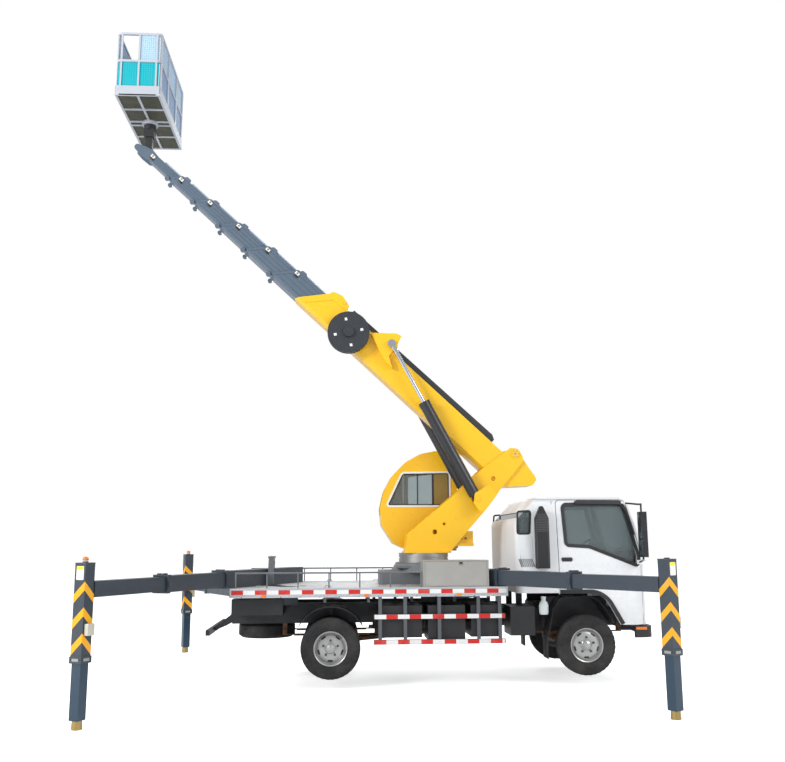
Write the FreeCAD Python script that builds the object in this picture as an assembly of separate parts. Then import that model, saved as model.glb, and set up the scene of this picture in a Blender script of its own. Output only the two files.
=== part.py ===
import FreeCAD, Part
import math
import os

# Cherry picker truck: a light cab-over truck that stands on four telescopic
# outriggers and carries a slewing turret with a seven-part telescopic boom.
# Millimetres. +X points to the truck's front, +Y to its left, +Z up. The origin
# lies on the ground, in the middle of the four jack feet.

V = FreeCAD.Vector
FIT = 0.3            # gap at a seat between two pieces
RUN = 0.05           # radial clearance of a pin in its bore
CLEAR = 5.0          # gap between pieces that move past each other

# Stance and running gear
STANCE_X = 3100.0
STANCE_Y = 3225.0
FRONT_AXLE_X = 2800.0
WHEELBASE = 3360.0
REAR_AXLE_X = FRONT_AXLE_X - WHEELBASE
TYRE_R = 387.5
TYRE_W = 195.0
RIM_R = 214.0
LIFT = 120.0                       # wheels hang this far above the ground
AXLE_Z = LIFT + TYRE_R
FRONT_TRACK = 860.0                # wheel centre from the middle plane
REAR_OUTER = 922.0
REAR_INNER = 686.0
KINGPIN_Y = 700.0
STEER_LOCK = 35.0

# Chassis
RAIL_Y = 375.0                     # middle of a rail's web
RAIL_W = 65.0
RAIL_BOTTOM = 780.0
RAIL_TOP = 960.0
SUBFRAME_TOP = 1045.0
REAR_OVERHANG = 1330.0
FRAME_REAR_X = REAR_AXLE_X - REAR_OVERHANG
FRAME_FRONT_X = 3440.0
BUMPER_TOP = 745.0
BUMPER_BOTTOM = 600.0

# Outrigger beams, on two levels that cross each other
BEAM_BOX = 220.0
BOX_WALL = 10.0
LOWER_Z = SUBFRAME_TOP + BEAM_BOX / 2.0
DECK_TOP = SUBFRAME_TOP + BEAM_BOX + 10.0
UPPER_Z = DECK_TOP + BEAM_BOX / 2.0
DECK_HALF = 1100.0
MOUTH_Y = DECK_HALF - 70.0
FRONT_MOUTH_X = 1703.0
REAR_MOUTH_X = FRAME_REAR_X - 110.0
FRONT_BOX_LEN = 1750.0
REAR_BOX_LEN = 2020.0
STAGE_1 = BEAM_BOX - 2.0 * BOX_WALL - 2.0 * CLEAR
STAGE_WALL = 8.0
STAGE_2 = STAGE_1 - 2.0 * STAGE_WALL - 2.0 * CLEAR
STAGE_OVERLAP = 420.0
COLLAR_LEN = 60.0
LEG = 140.0
LEG_WALL = 7.0
LEG_BOTTOM = 670.0
LEG_TOP = 1648.0
JACK = LEG - 2.0 * LEG_WALL - 2.0 * CLEAR
JACK_LEN = 930.0
WEB_LEN = 36.0
FOOT_H = 90.0

# Deck
DECK_REAR_X = FRAME_REAR_X + 40.0
DECK_FRONT_X = 1745.0
DECK_EDGE = 120.0
DECK_PLATE = 5.0
PAD_H = 4.0

# Toolbox on the deck
TOOL_REAR = 636.0
TOOL_FRONT = 1500.0
TOOL_OUT = -DECK_HALF + 10.0
TOOL_IN = TOOL_OUT + 345.0
TOOL_TOP = DECK_TOP + 340.0
TOOL_HINGE_R = 5.0
TOOL_HINGE_Z = DECK_TOP + 11.0
SHEET = 4.0

# Turret
SLEW_X = 745.0
RING_R = 350.0
PEDESTAL_TOP = UPPER_Z + BEAM_BOX / 2.0 + 75.0
RING_TOP = PEDESTAL_TOP + 130.0
REST_TOP = UPPER_Z + BEAM_BOX / 2.0 + 170.0
BOOM_HALF = 190.0
CHEEK_GAP = 10.0
CHEEK = 25.0
CHEEK_IN = BOOM_HALF + CHEEK_GAP
CHEEK_OUT = CHEEK_IN + CHEEK
PIVOT = V(2064.0, 0, 3093.0)
PIVOT_R = 45.0
CYL_FOOT = V(1478.0, 0, 2448.0)
BARREL_R = 82.0
ROD_R = 31.0
CYL_Y = CHEEK_OUT + CLEAR + 1.0 + BARREL_R
CYL_PIN_R = 38.0

# Boom, in its own frame: a runs out along it from the pivot, c square to it, up
BOOM_ANGLE = 43.0
BASE_TOP = -100.0
BASE_BOTTOM = -497.0
BASE_WALL = 8.0
BASE_HEAD = 3900.0
BASE_ROOT = -110.0
HEAD_PITCH = 534.0
SECTIONS = 6
SECTION_LEN = 3850.0
SECTION_WALL = 4.0
SIDE_GAP = 8.0
TOP_STEP = 32.0
SECTION_1_TOP = -150.0
HEAD_SLANT = math.radians(BOOM_ANGLE)
LUG = (2383.0, -46.0)
REEL = (2950.0, -355.0)
REEL_R = 305.0
TIP_PIN = (7095.0, -360.0)
TIP_LEN = 200.0
KNOB_R = 34.0

# Basket
BASKET_X = 640.0
BASKET_Y = 1800.0
BASKET_H = 950.0
BASKET_FLOOR = 8185.0
BASKET_FRAME = 27.0
TUBE = 32.0

# Truck cab
CAB_REAR = 1885.0
CAB_FRONT = 3680.0
CAB_HALF = 1000.0
BUMPER_HALF = CAB_HALF - 15.0
EAVES_HALF = CAB_HALF - 95.0
SCREEN_HALF = CAB_HALF - 200.0
CAB_ROOF = 2450.0
ROOF_CAMBER = 12.0
CAB_WALL = 32.0
CAB_FLOOR = 1180.0
CAB_SKIRT = 757.0
ARCH_REAR = 2300.0
ARCH_TOP = 1165.0
ARCH_FRONT = 3230.0
ARCH_CORNER = 300.0
LINER_OUT = CAB_HALF - 90.0
DOOR_REAR = 2450.0
DOOR_FRONT = 3583.0
DOOR_TOP = 2405.0
DOOR_GAP = 9.0
DOOR_PIN_Y = CAB_HALF - 65.0
TILT_HINGE = V(3600.0, 0, 800.0)
HINGE_PIN_R = 20.0
HINGE_LUG_Y = 452.0

# Operator's cab
OPC_IN = 425.0
OPC_OUT = 925.0
OPC_REAR = 1300.0
OPC_WALL = 28.0


# ---------------------------------------------------------------- helpers

def box(x0, x1, y0, y1, z0, z1):
    return Part.makeBox(x1 - x0, y1 - y0, z1 - z0, V(x0, y0, z0))


def rod(start, end, r):
    line = end - start
    return Part.makeCylinder(r, line.Length, start, line)


def tube(start, end, outer, inner):
    return rod(start, end, outer).cut(rod(start, end, inner))


def outline(points):
    """A closed wire from (u, v) or (u, v, radius) points. A radius rounds that corner; a negative
    one cuts it straight between the points where the arc would start and end."""
    flat = [V(p[0], p[1], 0) for p in points]
    radii = [p[2] if len(p) > 2 else 0.0 for p in points]
    count = len(flat)
    starts, ends, arcs = [], [], []
    for i in range(count):
        here, before, after = flat[i], flat[i - 1], flat[(i + 1) % count]
        size = abs(radii[i])
        if size == 0:
            starts.append(here)
            ends.append(here)
            arcs.append(None)
            continue
        to_before = (before - here).normalize()
        to_after = (after - here).normalize()
        half = to_before.getAngle(to_after) / 2.0
        back = size / math.tan(half)
        bisector = (to_before + to_after).normalize()
        middle = here + bisector * (size / math.sin(half) - size)
        starts.append(here + to_before * back)
        ends.append(here + to_after * back)
        arcs.append(middle if radii[i] > 0 else None)
    edges = []
    for i in range(count):
        if arcs[i] is not None:
            edges.append(Part.Arc(starts[i], arcs[i], ends[i]).toShape())
        elif (ends[i] - starts[i]).Length > 1e-6:
            edges.append(Part.makeLine(starts[i], ends[i]))
        following = starts[(i + 1) % count]
        if (following - ends[i]).Length > 1e-6:
            edges.append(Part.makeLine(ends[i], following))
    return Part.Wire(edges)


def prism(points, placement, depth):
    face = Part.Face(outline(points))
    solid = face.extrude(V(0, 0, depth))
    solid.Placement = placement
    return solid


def basis(origin, x_dir, y_dir, z_dir):
    """A placement whose local axes lie along the three directions."""
    m = FreeCAD.Matrix(
        x_dir.x, y_dir.x, z_dir.x, origin.x,
        x_dir.y, y_dir.y, z_dir.y, origin.y,
        x_dir.z, y_dir.z, z_dir.z, origin.z,
        0, 0, 0, 1)
    return FreeCAD.Placement(m)


def side_prism(points, y0, y1):
    """Outline in X and Z, from y0 to y1."""
    return prism(points, basis(V(0, y1, 0), V(1, 0, 0), V(0, 0, 1), V(0, -1, 0)), y1 - y0)


def front_prism(points, x0, x1):
    """Outline in Y and Z, from x0 to x1."""
    return prism(points, basis(V(x0, 0, 0), V(0, 1, 0), V(0, 0, 1), V(1, 0, 0)), x1 - x0)


def plan_prism(points, z0, z1):
    """Outline in X and Y, from z0 to z1."""
    return prism(points, basis(V(0, 0, z0), V(1, 0, 0), V(0, 1, 0), V(0, 0, 1)), z1 - z0)


def fuse(shapes):
    whole = shapes[0]
    if len(shapes) > 1:
        whole = shapes[0].multiFuse(shapes[1:])
    return whole.removeSplitter()


def mirror_y(shape):
    return shape.mirror(V(0, 0, 0), V(0, 1, 0))


def square_tube(length, side, wall, start=0.0):
    """A square tube along +X, centred on its axis."""
    h = side / 2.0
    outer = box(start, start + length, -h, h, -h, h)
    inner = box(start - 1, start + length + 1, -h + wall, h - wall, -h + wall, h - wall)
    return outer.cut(inner)


def save(name, solids):
    shapes = []
    for s in solids if isinstance(solids, list) else [solids]:
        shapes.extend(s.Solids)
    for s in shapes:
        if not s.isValid() or s.Volume <= 0:
            print("NOT VALID", name)
    made = shapes[0] if len(shapes) == 1 else Part.makeCompound(shapes)
    made.exportStep("parts/%s.step" % name)
    print("%-24s solids %2d" % (name, len(shapes)))


# ---------------------------------------------------------------- boom frame

ANGLE = math.radians(BOOM_ANGLE)
ALONG = V(-math.cos(ANGLE), 0, math.sin(ANGLE))
SQUARE = V(math.sin(ANGLE), 0, math.cos(ANGLE))


def boom_point(a, c, y=0.0):
    return PIVOT + ALONG * a + SQUARE * c + V(0, y, 0)


def boom_prism(points, y0, y1):
    """Outline in the boom's own (a, c), from y0 to y1 across the truck."""
    frame = basis(PIVOT + V(0, y0, 0), ALONG, SQUARE, V(0, 1, 0))
    return prism(points, frame, y1 - y0)


def boom_tube(top, bottom, half, chamfer, wall, a0, a1):
    """A box section whose bottom corners are cut off, from a0 to a1."""
    def ring(inset):
        k = chamfer - inset * 0.41
        return [(-half + inset, bottom + inset + k), (-half + inset, top - inset),
                (half - inset, top - inset), (half - inset, bottom + inset + k),
                (half - inset - k, bottom + inset), (-half + inset + k, bottom + inset)]
    frame = basis(PIVOT + ALONG * a0, V(0, -1, 0), SQUARE, ALONG)
    outer = prism(ring(0.0), frame, a1 - a0)
    inner = prism(ring(wall), frame, a1 - a0)
    return outer, inner


def slant(head, bottom, top, ahead=600.0):
    """What lies beyond a head whose face is cut level with the ground at the working angle."""
    back = (top - bottom + 400.0) / math.tan(HEAD_SLANT + math.radians(7.0))
    low = bottom - 100.0
    low_back = 100.0 / math.tan(HEAD_SLANT + math.radians(7.0))
    return boom_prism([(head + low_back, low), (head - back, top + 400.0),
                       (head + ahead, top + 400.0), (head + ahead, low)], -300, 300)


def slant_at(head, bottom, c):
    """Where the slanted head lies at height c."""
    return head - (c - bottom) / math.tan(HEAD_SLANT + math.radians(7.0))


# ---------------------------------------------------------------- chassis

def chassis_frame():
    parts = []
    for side in (-1, 1):
        y = side * RAIL_Y
        outer = box(FRAME_REAR_X, FRAME_FRONT_X, y - RAIL_W / 2, y + RAIL_W / 2, RAIL_BOTTOM, RAIL_TOP)
        hollow = box(FRAME_REAR_X - 1, FRAME_FRONT_X + 1, min(y - side * 50, y + side * 24),
                     max(y - side * 50, y + side * 24), RAIL_BOTTOM + 8, RAIL_TOP - 8)
        parts.append(outer.cut(hollow))
        parts.append(box(FRAME_REAR_X, DECK_FRONT_X, y - RAIL_W / 2, y + RAIL_W / 2,
                         RAIL_TOP, SUBFRAME_TOP))
    web = RAIL_Y + 24.5
    for x in (FRAME_REAR_X + 50, REAR_AXLE_X - 540, REAR_AXLE_X + 310, 550, 1350, 1940, FRAME_FRONT_X - 60):
        parts.append(box(x - 45, x + 45, -web, web, RAIL_BOTTOM + 30, RAIL_TOP - 20))
    # the bumper is open behind, where the tilting cab's front panel swings down
    front = CAB_FRONT + 20
    bumper = plan_prism([(3440, -BUMPER_HALF, 20), (front, -BUMPER_HALF, 170), (front + 35, 0, 0),
                         (front, BUMPER_HALF, 170), (3440, BUMPER_HALF, 20)], BUMPER_BOTTOM, BUMPER_TOP)
    inside = BUMPER_HALF - 35
    bumper = bumper.cut(plan_prism([(3400, -inside), (front - 40, -inside, 150), (front - 8, 0, 0),
                                    (front - 40, inside, 150), (3400, inside)],
                                   BUMPER_BOTTOM - 1, BUMPER_TOP + 1))
    parts.append(bumper)
    hinge = TILT_HINGE
    for side in (-1, 1):
        lo, hi = side * RAIL_Y - 25, side * RAIL_Y + 25
        root = FRAME_FRONT_X - 8
        parts.append(side_prism([(root, BUMPER_BOTTOM + 40), (front, BUMPER_BOTTOM + 40),
                                 (front, BUMPER_TOP - 55), (hinge.x - 30, BUMPER_TOP - 55),
                                 (hinge.x, hinge.z), (hinge.x, hinge.z + 25),
                                 (root, hinge.z + 25)], lo, hi))
        parts.append(rod(V(hinge.x, lo, hinge.z), V(hinge.x, hi, hinge.z), HINGE_PIN_R + 5))
        parts.append(box(1985, 2065, lo, hi, RAIL_TOP - 1, CAB_FLOOR - FIT))
    pin_end = HINGE_LUG_Y + 22
    parts.append(rod(V(hinge.x, -pin_end, hinge.z), V(hinge.x, pin_end, hinge.z), HINGE_PIN_R))
    return fuse(parts)


def spring_pack(x, side, y, z, half):
    leaves = []
    for i in range(4):
        length = half * (1.0 - 0.2 * i)
        leaves.append(box(x - length, x + length, y - 35, y + 35, z - 12 * (i + 1), z - 12 * i))
    leaves.append(box(x - half - 30, x - half + 30, y - 30, y + 30, z - 12, RAIL_BOTTOM))
    leaves.append(box(x + half - 30, x + half + 30, y - 30, y + 30, z - 12, RAIL_BOTTOM))
    return leaves


SPRING_Z = 640.0
HUB_R = 60.0
WEB_IN = 98.0
WEB_OUT = 158.0
SPINDLE_R = 30.0


def running_gear():
    """Axles, leaf springs and propeller shaft."""
    parts = []
    axle_end = KINGPIN_Y - 60
    parts.append(box(FRONT_AXLE_X - 45, FRONT_AXLE_X + 45, -axle_end, axle_end, AXLE_Z - 90, AXLE_Z - 10))
    for side in (-1, 1):
        for z in (AXLE_Z - 70, AXLE_Z + 40):
            parts.append(rod(V(FRONT_AXLE_X, side * KINGPIN_Y, z), V(FRONT_AXLE_X, side * KINGPIN_Y, z + 30), 34))
        lo = min(side * axle_end, side * (KINGPIN_Y - 20))
        hi = max(side * axle_end, side * (KINGPIN_Y - 20))
        parts.append(box(FRONT_AXLE_X - 30, FRONT_AXLE_X + 30, min(side * 600, side * (KINGPIN_Y - 34)),
                         max(side * 600, side * (KINGPIN_Y - 34)), AXLE_Z - 75, AXLE_Z + 70))
        parts.append(box(FRONT_AXLE_X - 30, FRONT_AXLE_X + 30, min(side * 640, side * KINGPIN_Y),
                         max(side * 640, side * KINGPIN_Y), AXLE_Z - 70, AXLE_Z - 40))
        parts.append(box(FRONT_AXLE_X - 30, FRONT_AXLE_X + 30, min(side * 640, side * KINGPIN_Y),
                         max(side * 640, side * KINGPIN_Y), AXLE_Z + 40, AXLE_Z + 70))
        parts.append(box(FRONT_AXLE_X - 50, FRONT_AXLE_X + 50, side * RAIL_Y - 40, side * RAIL_Y + 40,
                         AXLE_Z - 20, SPRING_Z - 40))
        parts.extend(spring_pack(FRONT_AXLE_X, side, side * RAIL_Y, SPRING_Z, 600))
        parts.append(box(REAR_AXLE_X - 60, REAR_AXLE_X + 60, side * RAIL_Y - 40, side * RAIL_Y + 40,
                         AXLE_Z, SPRING_Z - 40))
        parts.extend(spring_pack(REAR_AXLE_X, side, side * RAIL_Y, SPRING_Z, 620))
    rear = rod(V(REAR_AXLE_X, -560, AXLE_Z), V(REAR_AXLE_X, 560, AXLE_Z), 58)
    middle = V(REAR_AXLE_X, 0, AXLE_Z)
    pot = fuse([rod(middle + V(0, -60, 0), middle + V(0, 60, 0), 170),
                Part.makeCone(170, 95, 90, middle + V(0, 60, 0), V(0, 1, 0)),
                Part.makeCone(170, 95, 90, middle + V(0, -60, 0), V(0, -1, 0))])
    stub = rod(V(REAR_AXLE_X, -900, AXLE_Z), V(REAR_AXLE_X, 900, AXLE_Z), SPINDLE_R)
    nose = rod(V(REAR_AXLE_X + 40, 0, AXLE_Z), V(REAR_AXLE_X + 300, 0, AXLE_Z + 20), 52)
    shaft = rod(V(REAR_AXLE_X + 290, 0, AXLE_Z + 20), V(2044, 0, 740), 38)
    parts.extend([rear, pot, stub, nose, shaft])
    return fuse(parts)


def engine_block():
    web = RAIL_Y + 24
    arms = [box(x, x + 90, -web, web, 830, 900) for x in (2350, 2980)]
    return fuse([box(2250, 3150, -270, 270, 600, 1010), box(2050, 2251, -170, 170, 620, 900)] + arms)


# ---------------------------------------------------------------- wheels

def revolved(profile, centre, axis_x, axis):
    """Turns a closed profile of (radius, along) points round an axis through the centre."""
    face = Part.Face(outline(profile))
    face.Placement = basis(centre, axis_x, axis, axis_x.cross(axis))
    return face.revolve(centre, axis, 360)


def tyre_profile():
    h = TYRE_W / 2.0
    bead = RIM_R - 8
    return [(bead, -h), (TYRE_R - 45, -h), (TYRE_R, -h + 34), (TYRE_R, h - 34), (TYRE_R - 45, h), (bead, h)]


def tyre(x, y):
    return revolved(tyre_profile(), V(x, y, AXLE_Z), V(1, 0, 0), V(0, 1, 0))


def rim(x, y, out, dish, hub_in, hub_out):
    """Rim, disc and hub. out is the side that its face points to, dish the disc's place along the axle."""
    h = TYRE_W / 2.0 - 16
    r = RIM_R - 8 - FIT
    centre = V(x, y, AXLE_Z)
    barrel = revolved([(r - 14, -h), (r, -h), (r, h), (r - 14, h)], centre, V(1, 0, 0), V(0, 1, 0))
    # radius and place along the axle, outwards from the disc's back
    steps = [(HUB_R - 2, 0), (HUB_R - 2, 14), (WEB_IN, 14), (WEB_IN, 30), (WEB_OUT + 14, 30), (WEB_OUT + 14, 4),
             (r - 8, 4), (r - 8, -10), (WEB_OUT, -10), (WEB_OUT, 16), (WEB_IN + 14, 16), (WEB_IN + 14, 0)]
    plate = revolved([(radius, out * (dish + away)) for radius, away in steps], centre, V(1, 0, 0), V(0, 1, 0))
    holes = (WEB_IN + WEB_OUT) / 2.0 + 7
    for i in range(5):
        turn = math.radians(72 * i + 36)
        start = V(x + holes * math.cos(turn), y + out * (dish - 60), AXLE_Z + holes * math.sin(turn))
        plate = plate.cut(rod(start, start + V(0, out * 160, 0), 14))
    hub = tube(V(x, y + out * hub_in, AXLE_Z), V(x, y + out * hub_out, AXLE_Z), HUB_R, SPINDLE_R + RUN)
    return fuse([barrel, plate, hub])


def knuckle(side):
    y = side * KINGPIN_Y
    post = rod(V(FRONT_AXLE_X, y, AXLE_Z - 40 + FIT), V(FRONT_AXLE_X, y, AXLE_Z + 40 - FIT), 34)
    spindle = rod(V(FRONT_AXLE_X, y, AXLE_Z), V(FRONT_AXLE_X, side * (FRONT_TRACK + 40), AXLE_Z), SPINDLE_R)
    drum = rod(V(FRONT_AXLE_X, y + side * 36, AXLE_Z), V(FRONT_AXLE_X, y + side * 58, AXLE_Z), 120)
    arm = box(FRONT_AXLE_X - 170, FRONT_AXLE_X, min(y - side * 10, y + side * 20),
              max(y - side * 10, y + side * 20), AXLE_Z - 22, AXLE_Z + 8)
    return fuse([post, spindle, drum, arm])


# ---------------------------------------------------------------- outriggers

# name, side (+1 left), mouth x, leg x, beam centre z, box length
ARMS = [
    ("front_right", -1, FRONT_MOUTH_X, STANCE_X, UPPER_Z, FRONT_BOX_LEN),
    ("rear_right", -1, REAR_MOUTH_X, -STANCE_X, UPPER_Z, REAR_BOX_LEN),
    ("front_left", 1, FRONT_MOUTH_X, STANCE_X, LOWER_Z, FRONT_BOX_LEN),
    ("rear_left", 1, REAR_MOUTH_X, -STANCE_X, LOWER_Z, REAR_BOX_LEN),
]


def arm_frame(arm):
    """Origin at the box's mouth, x out along the beam, and the distance to the leg."""
    name, side, mouth_x, leg_x, z, length = arm
    mouth = V(mouth_x, side * MOUTH_Y, z)
    leg = V(leg_x, side * STANCE_Y, z)
    out = (leg - mouth).normalize()
    across = V(0, 0, 1).cross(out)
    return basis(mouth, out, across, V(0, 0, 1)), (leg - mouth).Length


def beam_box(arm):
    frame, reach = arm_frame(arm)
    length = arm[5]
    shell = square_tube(length, BEAM_BOX, BOX_WALL, -length)
    h = BEAM_BOX / 2.0
    band = box(-45, 0, -h - 10, h + 10, -h, h + 10).cut(box(-46, 1, -h + 2, h - 2, -h - 1, h - 2))
    inner = STAGE_1 / 2.0
    pad = box(-120, -20, -60, 60, -h + BOX_WALL - 1, -inner - FIT)
    plate = box(-length - 8, -length, -h, h, -h, h)
    solid = fuse([shell, band, pad, plate])
    solid.Placement = frame
    return solid


def stage_1(arm):
    frame, reach = arm_frame(arm)
    half = STAGE_1 / 2.0
    end = reach * 0.49
    shell = square_tube(end + STAGE_OVERLAP, STAGE_1, STAGE_WALL, -STAGE_OVERLAP)
    collar = square_tube(COLLAR_LEN, STAGE_1 + 24, 14, end - COLLAR_LEN)
    inside = BEAM_BOX / 2.0 - BOX_WALL
    rear_pad = box(-STAGE_OVERLAP, -STAGE_OVERLAP + 100, -60, 60, half - 1, inside - FIT)
    inner = STAGE_2 / 2.0
    pad = box(end - 100, end - 10, -50, 50, -half + STAGE_WALL - 1, -inner - FIT)
    solid = fuse([shell, collar, rear_pad, pad])
    solid.Placement = frame
    return solid


def stage_2(arm):
    """The inner beam, welded to the leg's outer tube."""
    frame, reach = arm_frame(arm)
    z = arm[4]
    half = STAGE_2 / 2.0
    start = reach * 0.49 - STAGE_OVERLAP
    face = reach - LEG / 2.0
    shell = square_tube(face - start + 1, STAGE_2, STAGE_WALL, start)
    inside = STAGE_1 / 2.0 - STAGE_WALL
    rear_pad = box(start, start + 100, -50, 50, half - 1, inside - FIT)
    h = LEG / 2.0
    leg = box(reach - h, reach + h, -h, h, LEG_BOTTOM - z, LEG_TOP - z)
    bore = h - LEG_WALL
    leg = leg.cut(box(reach - bore, reach + bore, -bore, bore, LEG_BOTTOM - z - 1, LEG_TOP - z - LEG_WALL))
    lip = JACK / 2.0 + FIT
    ring = box(reach - h - 8, reach + h + 8, -h - 8, h + 8, LEG_BOTTOM - 20 - z, LEG_BOTTOM + 50 - z)
    ring = ring.cut(box(reach - lip, reach + lip, -lip, lip, LEG_BOTTOM - 21 - z, LEG_BOTTOM + 51 - z))
    web = box(face - WEB_LEN, face + 1, -6, 6, -half - WEB_LEN, -half + 1)
    top_web = box(face - WEB_LEN, face + 1, -6, 6, half - 1, half + WEB_LEN)
    solid = fuse([shell, rear_pad, leg, ring, web, top_web])
    solid.Placement = frame
    return solid


def jack(arm):
    frame, reach = arm_frame(arm)
    z = arm[4]
    h = JACK / 2.0
    inner = box(reach - h, reach + h, -h, h, FOOT_H - z, FOOT_H + JACK_LEN - z)
    h2 = h - 8
    inner = inner.cut(box(reach - h2, reach + h2, -h2, h2, FOOT_H + 20 - z, FOOT_H + JACK_LEN - 7 - z))
    profile = [(0, 0), (38, 0), (54, 24), (50, FOOT_H + 1), (0, FOOT_H + 1)]
    foot = revolved(profile, V(reach, 0, -z), V(1, 0, 0), V(0, 0, 1))
    solid = fuse([inner, foot])
    solid.Placement = frame
    return solid


# ---------------------------------------------------------------- deck

def deck(boxes):
    plate = box(DECK_REAR_X, DECK_FRONT_X, -DECK_HALF, DECK_HALF, DECK_TOP - DECK_PLATE, DECK_TOP)
    parts = [plate]
    bottom = DECK_TOP - DECK_EDGE
    for side in (-1, 1):
        parts.append(box(DECK_REAR_X, DECK_FRONT_X, min(side * DECK_HALF, side * (DECK_HALF - 40)),
                         max(side * DECK_HALF, side * (DECK_HALF - 40)), bottom, DECK_TOP - 1))
    bars = 7
    for i in range(bars):
        x = DECK_REAR_X + (DECK_FRONT_X - 40 - DECK_REAR_X) * i / (bars - 1)
        parts.append(box(x, x + 40, -DECK_HALF + 20, DECK_HALF - 20, bottom + 30, DECK_TOP - 1))
        for side in (-1, 1):
            parts.append(box(x, x + 40, side * RAIL_Y - RAIL_W / 2, side * RAIL_Y + RAIL_W / 2,
                             SUBFRAME_TOP, DECK_TOP - 1))
    # a raised tread pad on the left, where loads stand
    parts.append(box(SLEW_X - 1250, SLEW_X - 650, 500, DECK_HALF - 120, DECK_TOP - 1, DECK_TOP + PAD_H))
    made = fuse(parts)
    for b in boxes:
        made = made.cut(b)
    return made


def rail_tube(points, r):
    """Straight runs of tube, each run past its corner to fill it."""
    parts = []
    for a, b in zip(points[:-1], points[1:]):
        along = (b - a).normalize()
        start = a if a == points[0] else a - along * r * 0.8
        end = b if b == points[-1] else b + along * r * 0.8
        parts.append(rod(start, end, r))
    return parts


RAIL_TOP_Z = DECK_TOP + 190.0


def deck_rail():
    made = []
    for side in (-1, 1):
        y = side * (DECK_HALF - 25)
        x0, x1 = DECK_REAR_X + 70, TOOL_REAR - 24
        parts = rail_tube([V(x0, y, DECK_TOP), V(x0, y, RAIL_TOP_Z), V(x1, y, RAIL_TOP_Z),
                           V(x1, y, DECK_TOP)], 11)
        posts = 6
        for i in range(1, posts):
            x = x0 + (x1 - x0) * i / posts
            parts.append(rod(V(x, y, DECK_TOP), V(x, y, RAIL_TOP_Z), 9))
        made.append(fuse(parts))
    return made


GUARD_X = (REAR_AXLE_X + 555.0, DECK_FRONT_X - 45.0)
GUARD_TOP = 935.0
GUARD_BOTTOM = 560.0


def side_guards(boxes):
    made = []
    length = GUARD_X[1] - GUARD_X[0]
    for side in (-1, 1):
        y0 = min(side * (DECK_HALF - 2), side * (DECK_HALF - 37))
        y1 = max(side * (DECK_HALF - 2), side * (DECK_HALF - 37))
        parts = []
        for z in (GUARD_TOP - 60, GUARD_BOTTOM):
            parts.append(box(GUARD_X[0], GUARD_X[1], y0, y1, z, z + 60))
        for share in (0.035, 0.225, 0.484, 0.783, 0.947):
            x = GUARD_X[0] + length * share
            parts.append(box(x, x + 45, y0 + 5, y1 - 5, GUARD_BOTTOM + 1, DECK_TOP - DECK_EDGE))
        guard = fuse(parts)
        for b in boxes:
            guard = guard.cut(b)
        made.append(max(guard.Solids, key=lambda piece: piece.Volume))
    return made


def underdeck_boxes(beams):
    """Hydraulic tank, fuel tank, battery boxes and the lockers under the tail."""
    out = DECK_HALF - 60
    top = SUBFRAME_TOP - CLEAR
    made = []
    rail_out = RAIL_Y + RAIL_W / 2
    start, room = GUARD_X[0] + 65, GUARD_X[1] - GUARD_X[0] - 145
    # start and end as shares of the room between the guard's ends, and the bottom
    for first, last, bottom in ((0.0, 0.36, 640), (0.41, 0.72, 600), (0.77, 1.0, 640)):
        x0, x1 = start + room * first, start + room * last
        made.append(fuse([box(x0, x1, -out, -rail_out - 60, bottom, top),
                          box(x0 + 40, x1 - 40, -rail_out - 61, -rail_out, 820, 900)]))
    tank_r = (out - rail_out) * 0.364
    tank_y = rail_out + 62.5 + tank_r
    x0, x1 = start + room * 0.09, start + room * 0.67
    z = 1010 - tank_r
    stay = tank_y - tank_r + 100
    made.append(fuse([rod(V(x0, tank_y, z), V(x1, tank_y, z), tank_r),
                      box(x0 + 100, x0 + 160, rail_out, stay, 820, 900),
                      box(x1 - 200, x1 - 140, rail_out, stay, 820, 900)]))
    for side in (-1, 1):
        tail = box(DECK_REAR_X + 10, REAR_AXLE_X - 620, min(side * (DECK_HALF - 140), side * rail_out),
                   max(side * (DECK_HALF - 140), side * rail_out), 930, 1130)
        for b in beams:
            tail = tail.cut(b)
        made.append(max(tail.Solids, key=lambda piece: piece.Volume))
    # battery box on the right and air tank on the left, behind the front wheels
    x0, x1 = DECK_FRONT_X + 50, DECK_FRONT_X + 370
    made.append(fuse([box(x0, x1, -CAB_HALF + 40, -rail_out - 60, 640, 1010),
                      box(x0 + 40, x1 - 40, -rail_out - 61, -rail_out, 830, 910)]))
    air = rod(V(x0, 640, 800), V(x1 + 120, 640, 800), 130)
    made.append(fuse([air, box(x0 + 60, x0 + 120, rail_out, 560, 820, 880)]))
    return made


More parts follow.
